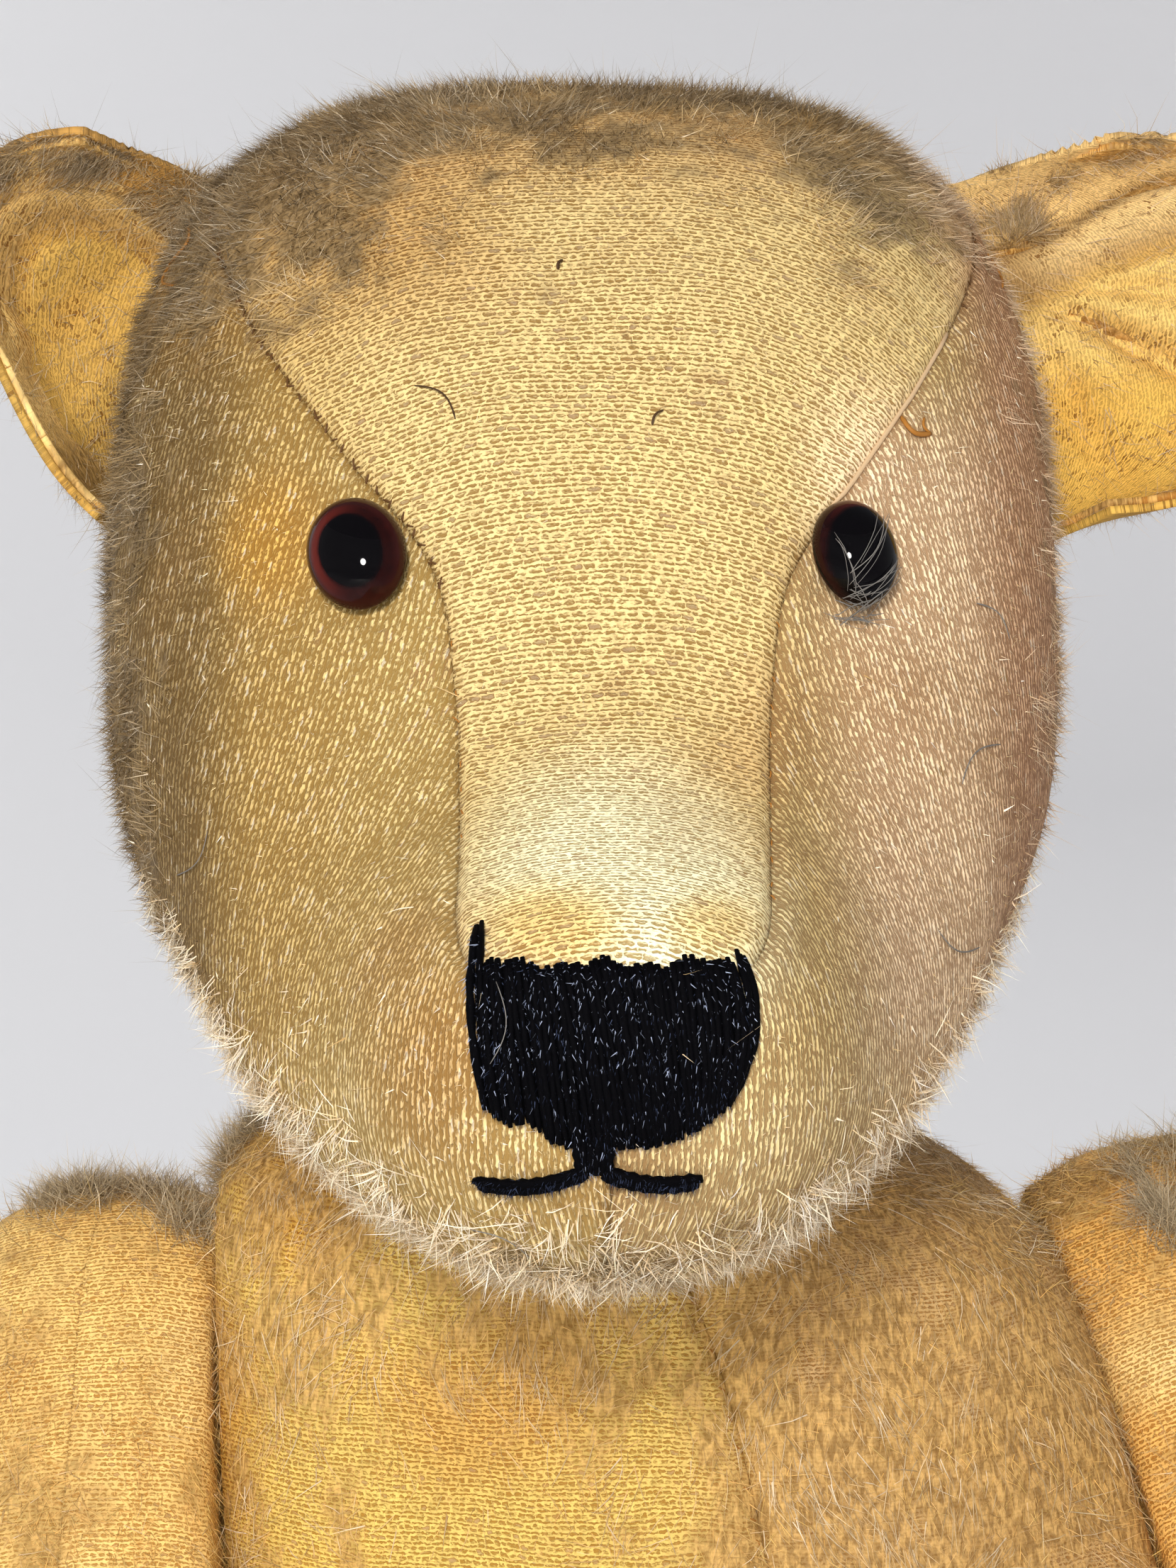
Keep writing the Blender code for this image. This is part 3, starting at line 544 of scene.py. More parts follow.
def head_pile(points):
    x, y, z = points.T
    ragged, fine = patches(points, 10, 3), patches(points * (0.5, 1, 1), 3.2, 8)
    streaks = patches(points * (0.5, 1, 1), 1.5, 9)
    edge = 240 - 17 * smoothstep((-x - 6) / 20) - 7 * smoothstep((x - 12) / 12)
    crown = smoothstep((z - edge + 6 * ragged + 9 * fine + 7 * streaks) / 21)
    cheeks = smoothstep((np.abs(x) - np.where(x < 0, 35, 40) + 6 * ragged + 6 * fine) / 13)
    behind = smoothstep((y + 34 + 8 * ragged) / 14)
    jaw = smoothstep((159 - z + 4 * ragged) / 6)
    return np.clip(np.maximum.reduce((0.88 * crown, 0.9 * cheeks, behind, 0.7 * jaw)), 0, 1)


def blend_tint(base, *layers):
    """Mixes colours over a base colour: each layer is a colour and its strengths."""
    total = np.array(linear(*base))
    for colour, share in layers:
        total = total + (np.array(linear(*colour)) - total) * np.clip(share, 0, 1)[:, None]
    return total


def head_tint_and_highlight(points):
    x, y, z = points.T
    wide = patches(points, 26, 21)
    under_nose = smoothstep((174 - z) / 10) * (y < -40) * smoothstep((34 - np.abs(x)) / 14)
    return blend_tint(
        (222, 196, 136),
        ((204, 174, 112), smoothstep((-x - 14) / 14)),
        ((152, 128, 84), smoothstep((-x - 27) / 9)),
        ((255, 226, 186), smoothstep((x - 15) / 10) * smoothstep((230 - z) / 14)),
        ((214, 172, 134), smoothstep((x - 31) / 9)),
        ((196, 158, 98), smoothstep((z - 224) / 16) * smoothstep((-x - 2) / 16)),
        ((206, 168, 112), smoothstep((z - 240) / 14) * 0.8),
        ((244, 222, 166), under_nose * 0.7),
        # Painted highlight: a near-white pool of light on the muzzle above the nose.
        ((255, 250, 210), smoothstep(1.4 - np.hypot(x - 1, z - 181) / 11) * (y < -66)),
        ((240, 196, 98), smoothstep(1.3 - np.hypot(x + 4, (z - 180) * 1.8) / 6) * 0.7 * (y < -80)),
        ((236, 196, 104), smoothstep(1.3 - np.hypot(x - 7, (z - 180) * 1.6) / 4) * 0.6 * (y < -80)),
        ((230, 180, 84), smoothstep(1.2 - np.hypot(x + 28, (z - 211) * 0.8) / 6) * 0.7 * (y < -40)),
        ((196, 156, 102), smoothstep(wide * 0.9) * 0.8),
        ((206, 166, 100), smoothstep((y + 26) / 20)),
    )


def dress(made, points_tint, material, node):
    """Gives a cloth piece its tint and material, in place of one node of the solids."""
    data = made.data
    flat = np.empty(len(data.vertices) * 3)
    data.vertices.foreach_get("co", flat)
    tint = data.color_attributes.new("tint", "FLOAT_COLOR", "POINT")
    colours = np.ones((len(data.vertices), 4))
    colours[:, :3] = points_tint(flat.reshape(-1, 3) / MM)
    tint.data.foreach_set("color", colours.ravel())
    data.materials.append(material)
    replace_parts(made, node)


def head_shape(points, normals, near_seam):
    soft = np.array([0.45 * lumps(p, 24, 1) + 0.16 * lumps(p, 8, 2) for p in points])
    depth = 0.32 * np.exp(-((near_seam / 0.6) ** 2)) - 0.18 * np.exp(-(((near_seam - 1.4) / 0.9) ** 2))
    for x, z in (EYE_LEFT, EYE_RIGHT):
        away = np.hypot(points[:, 0] - x, points[:, 2] - z)
        depth += DIMPLE_DEPTH * np.exp(-((away / DIMPLE_RADIUS) ** 2)) * (points[:, 1] < -30)
    return points + normals * (soft - depth)[:, None]


HEAD_FUZZ = (linear(84, 68, 44), linear(140, 118, 84))
HEAD_STUBS = (linear(122, 92, 52), linear(172, 134, 84))
# Each head panel: its material, its weave, and the painted shade in its weave's hollows.
HEAD_CLOTHS = {
    "head_gusset": ("worn_head_mohair", (1.04, 1.12, 0.0), (0.4, 0.31, 0.19)),
    "head_side_left": ("worn_left_cheek_mohair", (0.6, 1.5, 1.0), (0.42, 0.34, 0.28)),
    "head_side_right": ("worn_right_cheek_mohair", (0.66, 1.1, 1.0), (0.42, 0.34, 0.2)),
}
head_masks = {"pile": head_pile, "stain": lambda points: spots(points, HEAD_STAINS)}
head_sections = np.linspace(0, len(HEAD) - 1, 130)
gusset_rings = [
    head_ring(s, np.linspace(gusset_turn(s, -1), gusset_turn(s, 1), 120)) for s in head_sections
]
head_cloths = {}
for node, (label, weave, painted_hollow_shade) in HEAD_CLOTHS.items():
    if node == "head_gusset":
        grid = cloth_grid(gusset_rings, (True, True), 1.5, centre_u=True)
    else:
        side = 1 if node.endswith("left") else -1
        rings = [
            head_ring(s, np.linspace(gusset_turn(s, side), side * math.pi, 160)) for s in head_sections
        ]
        grid = upright_weave(cloth_grid(rings, (True, True), 1.9))
    piece = cloth_piece(node + "_cloth", grid, (0, -20, 200), head_masks, head_shape)
    cloth = worn_cloth(label, weave, painted_hollow_shade, HEAD_FUZZ, HEAD_STUBS)
    dress(piece, head_tint_and_highlight, cloth, node)
    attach(piece, "head")
    head_cloths[node] = piece


# Torso cloth. Two panels of the same mohair, joined down the chest and down the back, matted
# all over and rubbed bare in patches. The limbs' discs pull a flat in it at each joint.

# One row a ring from the neck to the seat: z, right and left x, front and back y, squareness.
TORSO = (
    (155.6, 0.0, 0.0, 0.0, 0.0, 2.0),
    (155.6, -22.0, 22.0, -22.0, 22.0, 2.0),
    (154.6, -31.0, 31.0, -28.5, 28.5, 2.1),
    (150.6, -37.5, 38.0, -32.5, 33.0, 2.2),
    (144.5, -41.0, 47.0, -34.8, 36.0, 2.3),
    (134.0, -43.5, 57.0, -36.5, 37.5, 2.3),
    (118.0, -44.5, 65.0, -38.2, 38.5, 2.3),
    (98.0, -42.0, 69.5, -40.5, 39.5, 2.3),
    (74.0, -37.0, 70.0, -42.5, 39.5, 2.3),
    (50.0, -34.0, 70.5, -42.5, 38.5, 2.3),
    (28.0, -33.0, 70.0, -40.5, 37.5, 2.3),
    (12.0, -31.5, 68.5, -37.0, 34.5, 2.3),
    (3.0, -22.0, 59.0, -30.0, 29.0, 2.2),
    (0.0, -11.0, 48.0, -20.0, 20.0, 2.2),
    (0.0, 18.5, 18.5, 0.5, 0.5, 2.0),
)
FRONT_SEAM = 7
GAP = 0.35
SHOULDER_RIGHT, SHOULDER_LEFT = Vector((-38.0, -2, 126.5)), Vector((55.5, 3, 126.5))
HIP_RIGHT, HIP_LEFT = Vector((-26.5, -2, 23.3)), Vector((63.5, -2, 23.3))
SHOULDER_TILT_RIGHT, SHOULDER_TILT_LEFT = -4, 14
LEG_SPLAY, ARM_FORWARD = 10, 40


def joint_frame(centre, tilt, splay, swing):
    """The frame of a joint whose local X is its axis."""
    return (
        Matrix.Translation(centre)
        @ Matrix.Rotation(math.radians(splay), 4, "Z")
        @ Matrix.Rotation(math.radians(tilt), 4, "Y")
        @ Matrix.Rotation(math.radians(swing), 4, "X")
    )


LIMB_FRAMES = {
    "arm_left": joint_frame(SHOULDER_LEFT, -SHOULDER_TILT_LEFT, 0, -ARM_FORWARD),
    "arm_right": joint_frame(SHOULDER_RIGHT, SHOULDER_TILT_RIGHT, 0, -ARM_FORWARD),
    "leg_left": joint_frame(HIP_LEFT, 0, LEG_SPLAY, -90),
    "leg_right": joint_frame(HIP_RIGHT, 0, -LEG_SPLAY, -90),
}


def joint_flats():
    """(centre, direction outwards, reach) of each place where a limb lies against the torso."""
    for limb, limb_frame in LIMB_FRAMES.items():
        side = 1 if limb.endswith("left") else -1
        outwards = np.array(limb_frame.to_3x3() @ Vector((side, 0, 0)))
        yield np.array(limb_frame.translation), outwards, 130 if limb.startswith("arm") else 40


FLATS = tuple(joint_flats())


def torso_ring(ring, turns):
    """Points round one ring of the torso: turn is 0 at the front seam and pi at the back."""
    z, left, right, front, back, square = between(TORSO, ring)
    across, ahead = squared(turns + math.radians(FRONT_SEAM), square)
    x = (left + right) / 2 + (right - left) / 2 * across
    y = (front + back) / 2 - (back - front) / 2 * ahead
    points = np.column_stack((x, y, np.full(len(turns), z)))
    for centre, outwards, reach in FLATS:
        high = np.maximum((points - centre) @ outwards + GAP, 0)
        hold = smoothstep((reach - np.linalg.norm(points - centre, axis=1)) / 10)
        points = points - outwards * (high * hold)[:, None]
    return points


def clear_of_joints(points):
    """0 on the flats at the joints and 1 away from them."""
    free = np.ones(len(points))
    for centre, outwards, reach in FLATS:
        close = np.abs((points - centre) @ outwards + GAP)
        near = np.linalg.norm(points - centre, axis=1) < reach
        free = np.where(near, np.minimum(free, smoothstep(close / 3)), free)
    return free


def torso_shape(points, normals, near_seam):
    soft = np.array([0.8 * lumps(p, 26, 31) + 0.3 * lumps(p, 9, 32) for p in points])
    depth = 0.7 * np.exp(-((near_seam / 0.9) ** 2)) - 0.35 * np.exp(-(((near_seam - 4) / 2.5) ** 2))
    held = clear_of_joints(points) * smoothstep((154.5 - points[:, 2]) / 6) * smoothstep(points[:, 2] / 6)
    return points + normals * ((soft - depth) * held)[:, None]


# Streaks in the torso's fuzz run down and to the bear's left.
SLANTED = np.array(((1.0, 0, 0.2), (0, 1.0, 0), (0.35, 0, 0.5)))


def torso_pile(points):
    x, y, z = points.T
    ragged, fine = patches(points, 13, 41), patches(points @ SLANTED, 4, 44)
    chest = 0.6 + 0.25 * smoothstep((x - 6) / 10) + 0.65 * ragged + 0.6 * fine
    bare = smoothstep(1.3 - np.hypot(x + 12, z - 118) / 17) * (y < 0)
    return np.clip(np.where(y < 0, chest - 0.65 * bare, 0.75 + 0.5 * ragged), 0, 1)


def torso_tint_and_shade(points):
    x, y, z = points.T
    wide = patches(points, 22, 51)
    return blend_tint(
        (226, 194, 106),
        ((212, 172, 104), smoothstep((x - 4) / 14) * 0.8),
        ((206, 158, 82), smoothstep(wide * 1.1) * 0.8),
        ((250, 214, 112), smoothstep(-wide * 1.1)),
        # Painted shade: deep orange in the crease under the head and beside the right arm's joint.
        ((192, 136, 44), smoothstep(1.3 - np.hypot(x + 29, z - 149) / 10) * 0.8 * (y < 0)),
        ((200, 146, 60), smoothstep(1.2 - np.hypot(x + 37, (z - 125) * 0.3) / 5) * 0.7 * (y < 0)),
        ((204, 166, 120), smoothstep((x - 12) / 12) * 0.7 * (y < 0)),
    )


def grubby(size, seed):
    return lambda points: smoothstep(patches(points, size, seed) * 1.2 - 0.5) * 0.5


BODY_FUZZ = (linear(138, 104, 54), linear(214, 172, 104))
BODY_STUBS = (linear(170, 126, 62), linear(214, 170, 98))
# Its weave, the painted shade in the weave's hollows, its fuzz and stub colours, and its seam's shade.
body_cloth = worn_cloth(
    "worn_body_mohair", (0.98, 0.85, 0.0), (0.56, 0.41, 0.24), BODY_FUZZ, BODY_STUBS, 0.05
)
torso_masks = {"pile": torso_pile, "stain": grubby(17, 61)}
torso_cloths = {}
for side, name in ((1, "torso_left"), (-1, "torso_right")):
    rings = [
        torso_ring(r, np.linspace(0, side * math.pi, 160)) for r in np.linspace(0, len(TORSO) - 1, 92)
    ]
    grid = cloth_grid(rings, (True, True), 2.2)
    piece = cloth_piece(name + "_cloth", grid, (16, 0, 80), torso_masks, torso_shape)
    dress(piece, torso_tint_and_shade, body_cloth, name)
    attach(piece, "torso")
    torso_cloths[name] = piece


# Arms and legs. Each is an outer and an inner panel of mohair, with a felt pad sewn in at the
# palm or the sole. They hang from their joint discs, and the plush is rubbed off their fronts.

# One row a section down the limb: z, front and back y, inner and outer x, from the joint.
ARM = (
    (19.4, 0.0, 0.0, 13.6, 13.6),
    (17.8, -8.0, 8.0, 4.0, 22.5),
    (12.5, -14.5, 14.5, -4.5, 29.5),
    (1.0, -18.8, 18.8, -6.5, 33.5),
    (-17.0, -18.8, 18.0, -5.5, 33.0),
    (-36.0, -17.2, 15.2, -2.0, 31.0),
    (-54.0, -16.0, 12.5, 1.0, 29.0),
    (-69.0, -16.8, 11.2, 2.0, 28.5),
    (-80.0, -17.2, 8.5, 3.5, 27.0),
    (-87.0, -15.0, 4.0, 7.0, 23.5),
    (-89.0, -6.0, -6.0, 15.2, 15.2),
)
LEG = (
    (22.8, 0.0, 0.0, 14.6, 14.6),
    (20.8, -10.0, 10.0, 2.5, 26.0),
    (14.0, -17.5, 18.0, -6.5, 32.5),
    (0.0, -22.5, 23.5, -8.0, 36.5),
    (-22.0, -21.5, 24.0, -6.5, 36.0),
    (-45.0, -18.5, 23.5, -1.0, 33.5),
    (-68.0, -16.2, 23.0, 2.0, 31.5),
    (-84.0, -17.0, 23.0, 2.0, 31.5),
    (-96.0, -26.0, 22.5, 1.0, 32.5),
    (-106.0, -33.5, 21.0, 1.0, 33.0),
    (-111.5, -31.0, 17.5, 3.0, 30.5),
)
# The sections of each kind of limb, and how square they are.
LIMB_SECTIONS = {"arm": (ARM, 2.3), "leg": (LEG, 2.2)}
PAW_PAD_FROM = 6.6
FELT, SOLE_DOME = 1.2, 1.5


def limb_ring(limb, section, turns):
    """Points round one section of a limb, in place: turn is 0 in front, positive outside."""
    rows, square = LIMB_SECTIONS[limb[:3]]
    side = 1 if limb.endswith("left") else -1
    z, front, back, inner, outer = between(rows, section)
    across, ahead = squared(turns, square)
    x = np.maximum((inner + outer) / 2 + (outer - inner) / 2 * across, GAP)
    y = np.minimum((front + back) / 2 - (back - front) / 2 * ahead, HIP_LEFT.z)
    local = np.column_stack((side * x, y, np.full(len(turns), z), np.ones(len(turns))))
    return (local @ np.array(LIMB_FRAMES[limb]).T)[:, :3]


def limb_rings(limb, over, start, end, count):
    """The outer half (over is 1) or the inner half (-1) of a limb's rings between sections."""
    turns = np.linspace(0, over * math.pi, 90)
    return [limb_ring(limb, section, turns) for section in np.linspace(start, end, count)]


def limb_shape(points, normals, near_seam):
    soft = np.array([0.5 * lumps(p, 20, 71) + 0.2 * lumps(p, 7, 72) for p in points])
    depth = 0.1 * np.exp(-((near_seam / 0.7) ** 2)) - 0.06 * np.exp(-(((near_seam - 2) / 1.5) ** 2))
    held = clear_of_joints(points) * smoothstep((points[:, 2] - 0.5) / 4)
    return points + normals * ((soft - depth) * held)[:, None]


def limb_pile(points):
    _, y, z = points.T
    ragged, fine = patches(points, 12, 81), patches(points, 4.5, 84)
    tops = smoothstep((z - 144 + 6 * ragged) / 6) * (z > 100)
    rear = smoothstep((y + 6 + 10 * ragged) / 16)
    return np.clip(np.maximum(tops, rear) + 0.28 + 0.5 * ragged + 0.25 * fine, 0, 1)


def limb_tint(points):
    wide = patches(points, 20, 91)
    return blend_tint(
        (254, 214, 132),
        ((246, 192, 106), smoothstep((points[:, 0] - 20) / 30)),
        ((218, 168, 92), smoothstep(wide * 1.2) * 0.7),
        ((255, 222, 150), smoothstep(-wide * 1.2)),
    )


def felt_material():
    made, nodes = new_material("rubbed_felt", 0.9, Specular_IOR_Level=0.15)
    value, mix = nodes.value, nodes.mix
    coarse, fine = nodes.noise(220, 5), nodes.noise(1400, 4, distortion=1.5)
    colour = mix(fine, linear(186, 150, 96), linear(222, 190, 134))
    colour = mix(nodes.ramp(coarse, 0.5, 0.75), colour, linear(140, 104, 62))
    colour = mix(value("MULTIPLY", nodes.attribute("seam"), 0.5), colour, linear(110, 76, 40))
    nodes.surface(colour, value("ADD", fine, value("MULTIPLY", coarse, 2.0)), 0.8, 0.0002)
    return made


felt = felt_material()
limb_masks = {"pile": limb_pile, "stain": grubby(14, 95)}
limb_cloths = {}
for limb, placed in LIMB_FRAMES.items():
    kind, side_name = limb.split("_")
    last = len(LIMB_SECTIONS[kind][0]) - 1
    heart = np.array(placed @ Vector((15 if side_name == "left" else -15, 0, -40)))
    inner_end = PAW_PAD_FROM if kind == "arm" else last
    pieces = {}
    for part, over, end in (("outer", 1, last), ("inner", -1, inner_end)):
        rings = limb_rings(limb, over, 0, end, 52 if end == last else 38)
        grid = cloth_grid(rings, (True, True), 2.3)
        name = f"{limb}_{part}"
        pieces[name] = cloth_piece(name + "_cloth", grid, heart, limb_masks, limb_shape)
        dress(pieces[name], limb_tint, body_cloth, name)
    if kind == "arm":
        name, sewn, shape = f"paw_pad_{side_name}", (True, True), limb_shape
        rings = limb_rings(limb, -1, PAW_PAD_FROM, last, 24)
    else:
        name, sewn, shape = f"foot_pad_{side_name}", (False, False), None
        rim = limb_ring(limb, last, np.linspace(0, 2 * math.pi, 97))
        centre, sole_out = rim[:-1].mean(axis=0), np.array(placed.to_3x3() @ Vector((0, 0, -1)))
        rings = [
            centre + (rim - centre) * size + sole_out * (GAP + SOLE_DOME * (1 - size**2))
            for size in np.linspace(1, 0, 16)
        ]
    pad = cloth_piece(name + "_felt", cloth_grid(rings, sewn, 2.2), heart, {}, shape, FELT)
    pad.data.materials.append(felt)
    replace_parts(pad, name)
    pieces[pad.name] = pad
    for piece in pieces.values():
        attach(piece, limb)
    limb_cloths.update(pieces)


# Ears. A bare golden cotton front and a mohair back, turned out and sewn across the corner of
# the head. The back's cloth rolls over the top edge, and creases fan out from the inner point.

EAR_SECTION = 11.25
EAR_TURNS = (42, 79)
EAR_RIM_TURN = 78
EAR_CLOTH = 0.8
# Side, reach outwards, rise of the tip, half height and squareness above and below, curl and
# cup forwards, and the place of the inner point; then how far under the top edge the rolled
# band's seam and the fold below it lie at the base and at the tip; then its creases: degrees
# above straight out, width in degrees and lift forwards.
EARS = {
    "left": (
        1, 38.5, 3.0, (19.5, 2.9), (18.0, 2.9), 9.0, 4.0, (45.5, 243.5),
        ((7.5, 2.6), (12.5, 7.0)),
        (
            (22, 9, -1.4), (8, 9, 1.3), (-4, 3.0, -1.0), (-16, 7, 1.8), (-27, 4.5, -2.6),
            (-45, 11, 1.6), (-62, 5, -1.4), (-80, 8, 0.8),
        ),
    ),
    "right": (
        -1, 19.0, 1.0, (18.5, 2.9), (20.0, 1.9), 13.0, 5.0, (-40.0, 250.5),
        ((7.0, 2.4), (9.0, 6.0)),
        (
            (3, 10, -1.6), (-20, 9, 1.2), (-42, 10, -1.2), (-62, 6, 1.0), (-74, 5, -1.6),
            (-84, 5, 0.9),
        ),
    ),
}
# The cotton's colours: above, below, the rolled band with its fold, and the band alone.
EAR_COLOURS = {
    "left": ((238, 200, 118), (232, 186, 90), (230, 196, 136), (236, 194, 124)),
    "right": ((208, 166, 84), (216, 180, 110), (196, 158, 96), (216, 160, 78)),
}
# The right ear's lower outer edge is creased back past a line: a place on it in x and z, and
# the way out from it.
TUCK_PLACE, TUCK_OUT = np.array((-65, 239)), np.array((-0.894, -0.447))


def ear_points(ear, along, out):
    """Points of an ear's middle layer, without its folds."""
    side, reach, tip_rise, above, below, curl, cup = EARS[ear][:7]
    low, high = EAR_TURNS
    base_turn = np.radians(low + (high - low) * (along + 1) / 2)
    base = head_ring(EAR_SECTION, side * base_turn)
    base -= 1.2 * np.column_stack((side * np.sin(base_turn), 0 * base_turn, np.cos(base_turn)))
    middle = head_ring(EAR_SECTION, np.array([side * math.radians((low + high) / 2)]))
    square = np.where(along < 0, above[1], below[1])
    drop, ahead = squared(math.radians(EAR_RIM_TURN) * along, square)
    tall = np.where(along < 0, above[0], below[0])
    rim = middle + np.column_stack((side * reach * ahead, 0 * drop, tip_rise * ahead - tall * drop))
    points = base + (rim - base) * out[:, None]
    points[:, 1] -= curl * out**2 + cup * along**2 * out * (1.4 - out)
    return points


def ear_places(ear, points):
    """For points of an ear: how far under its top edge they are, how far outwards from the head
    as a share of its reach, and their angle and distance from its inner point."""
    side, reach, *_, (apex_x, apex_z), _, _ = EARS[ear]
    rim = ear_points(ear, np.linspace(-1, 0, 80), np.ones(80))
    rim = np.vstack((ear_points(ear, np.full(20, -1.0), np.linspace(0, 1, 20)), rim))[:, (0, 2)]
    under = np.min(np.linalg.norm(points[:, None, (0, 2)] - rim[None], axis=2), axis=1)
    outward = np.maximum(side * (points[:, 0] - apex_x), 0.3)
    upward = points[:, 2] - apex_z
    out = np.clip(outward / reach, 0, 1)
    return under, out, np.degrees(np.arctan2(upward, outward)), np.hypot(outward, upward)


def ear_lines(ear, out):
    """How far under an ear's top edge its rolled band's seam and the fold below it run."""
    (seam_base, seam_tip), (fold_base, fold_tip) = EARS[ear][8]
    seam_at = seam_base + (seam_tip - seam_base) * smoothstep(out * 2.2)
    return seam_at, fold_base + (fold_tip - fold_base) * smoothstep(out * 1.6)


def bump_at(place, at, width):
    return np.exp(-(((place - at) / width) ** 2))


def ear_folds(ear, points):
    """How far forwards an ear's folds stand: its rolled band, the fold under it and its creases."""
    under, out, angle, away = ear_places(ear, points)
    seam_at, fold_at = ear_lines(ear, out)
    lift = 1.5 * smoothstep((seam_at - under) / 0.8 + 0.5) * smoothstep(under / 1.6 + 0.35)
    lift -= 0.5 * bump_at(under, seam_at + 0.3, 0.6)
    lift += 1.1 * bump_at(under, (seam_at + fold_at) / 2, (fold_at - seam_at) / 3.2)
    lift -= 1.1 * bump_at(under, fold_at + 0.5, 1.1)
    grown = smoothstep(away / 14) * smoothstep((under - fold_at) / 3)
    for at, width, height in EARS[ear][9]:
        lift += height * grown * bump_at(angle, at, width)
    return lift


def ear_tuck(ear, points):
    """How far an ear's lower outer edge is drawn in: the right one is creased back there."""
    past = (points[:, (0, 2)] - TUCK_PLACE) @ TUCK_OUT
    return 0.6 * np.maximum(past + 6, 0) * smoothstep((241 - points[:, 2]) / 6) * (ear == "right")


def ear_cotton_material():
    made, nodes = new_material("bare_ear_cotton", 0.8, Specular_IOR_Level=0.2)
    value, ramp, mix = nodes.value, nodes.ramp, nodes.mix
    cloth = woven(nodes, 0.8, 0.6)
    tint = nodes.attribute("tint", "Color")
    # Threads are lighter than the hollows between them: painted shade in the hollows.
    colour = mix(1.0, tint, value("MULTIPLY_ADD", cloth["Thread"], 0.35, 0.75), "MULTIPLY")
    specked = value("MULTIPLY", cloth["Hollow"], ramp(cloth["Fleck"], 0.6, 0.9))
    specked = value("MULTIPLY", specked, ramp(nodes.noise(130, 3), 0.35, 0.6))
    grime = ramp(nodes.noise(70, 5, distortion=0.8), 0.5, 0.8)
    for share, amount, shade in (
        (specked, 0.8, (120, 74, 24)), (grime, 0.35, (160, 112, 56)),
        (nodes.attribute("pile"), 0.75, (150, 116, 66)),
    ):
        colour = mix(value("MULTIPLY", share, amount), colour, linear(*shade))
    nodes.surface(colour, cloth["Thread"], 0.7, 0.00014)
    return made


def ear_tint_and_shade(ear, points):
    above, below, band, roll = EAR_COLOURS[ear]
    wide, z = patches(points, 11, 101), points[:, 2]
    under, out, _, away = ear_places(ear, points)
    seam_at, fold_at = ear_lines(ear, out)
    return blend_tint(
        above, (below, smoothstep((238 - z) / 8) if ear == "left" else smoothstep((z - 246) / 6)),
        ((206, 152, 72), smoothstep(wide * 1.2) * 0.5),
        (band, smoothstep((fold_at - under) / 1.2 + 0.5) * 0.85),
        (roll, smoothstep((seam_at - under) / 0.8 + 0.5) * 0.7),
        ((92, 58, 24), bump_at(under, seam_at + 0.3, 0.45) * 0.75),
        # Painted shade in the valley under the rolled band's fold.
        ((140, 96, 44), bump_at(under, fold_at + 0.6, 0.9) * 0.4),
        # Painted shade where the creases meet at the inner point, by the head.
        ((120, 80, 36), smoothstep(1.1 - away / 7) * 0.5),
    )


def ear_pile(ear, points):
    under, out, _, _ = ear_places(ear, points)
    rolled = smoothstep((ear_lines(ear, out)[0] - under) / 0.8 + 0.3)
    return np.clip(rolled * ((0.2 if ear == "left" else 0.6) + patches(points, 5, 115)), 0, 1)


ear_cotton = ear_cotton_material()
ear_alongs = np.linspace(-1, 1, 110)
ear_outs = np.r_[np.linspace(0, 0.9, 34), np.linspace(0.92, 1, 6)]
ear_cloths = {}
for ear, (side, *_) in EARS.items():
    middle = [ear_points(ear, ear_alongs, np.full(len(ear_alongs), out)) for out in ear_outs]

    def folded(points, normals, near_seam):
        tuck = ear_tuck(ear, points)
        forwards = ear_folds(ear, points) - 0.3 * tuck
        return points - np.column_stack((TUCK_OUT[0] * tuck, forwards, TUCK_OUT[1] * tuck))

    for layer, forwards, padding in (("front", 1, 0.25), ("back", -1, 1.3)):
        rings = []
        for out, ring in zip(ear_outs, middle):
            part = 0.3 + padding * math.sin(math.pi * min(out, 1)) ** 0.5
            rings.append(ring - np.array((0, forwards * part, 0)))
        grid = cloth_grid(rings, (False, False), 0.9)
        behind = Vector((side * 70, 200 * forwards, 235))
        name = f"ear_{ear}_{layer}"
        if layer == "front":
            masks = {"pile": lambda points: ear_pile(ear, points)}
            piece = cloth_piece(name + "_cloth", grid, behind, masks, folded, EAR_CLOTH)
            dress(piece, lambda points: ear_tint_and_shade(ear, points), ear_cotton, name)
        else:
            masks = {"pile": lambda points: np.clip(0.7 + patches(points, 9, 111), 0, 1)}
            piece = cloth_piece(name + "_cloth", grid, behind, masks, folded, EAR_CLOTH)
            dress(piece, limb_tint, body_cloth, name)
        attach(piece, "head")
        ear_cloths[f"{ear}_{layer}"] = piece


# Eyes. Each is a dark glass cabochon with a black pupil and a reddish-brown ring under the
# surface, on a wire shank that is pulled back into the head, so it sits in a dimple.

EYE_RADIUS, EYE_RIM, EYE_DEPTH = 4.7, 0.9, 4.2
EYE_WIDE, EYE_TALL = 0.92, 1.1
# Side, place, how far the brown ring reaches in, width, and how far the glass has turned.
EYES = {
    "left": (1, EYE_LEFT, 0.8, EYE_WIDE * 0.88, 0.12),
    "right": (-1, EYE_RIGHT, 1.1, EYE_WIDE, 0.4),
}
# Rays to the face start this far in front of the origin.
FAR_IN_FRONT = 200


def face_surface():
    """The head's skin as one fine surface, to seat the face on."""
    turns = np.linspace(-math.pi, math.pi, 145)
    rings = [head_ring(s, turns) for s in np.linspace(0.02, len(HEAD) - 1.02, 160)]
    corners = [Vector(point) for ring in rings for point in ring]
    count = len(turns)
    starts = [i * count + j for i in range(len(rings) - 1) for j in range(count - 1)]
    faces = [(k, k + count, k + count + 1, k + 1) for k in starts]
    return BVHTree.FromPolygons(corners, faces)


face = face_surface()


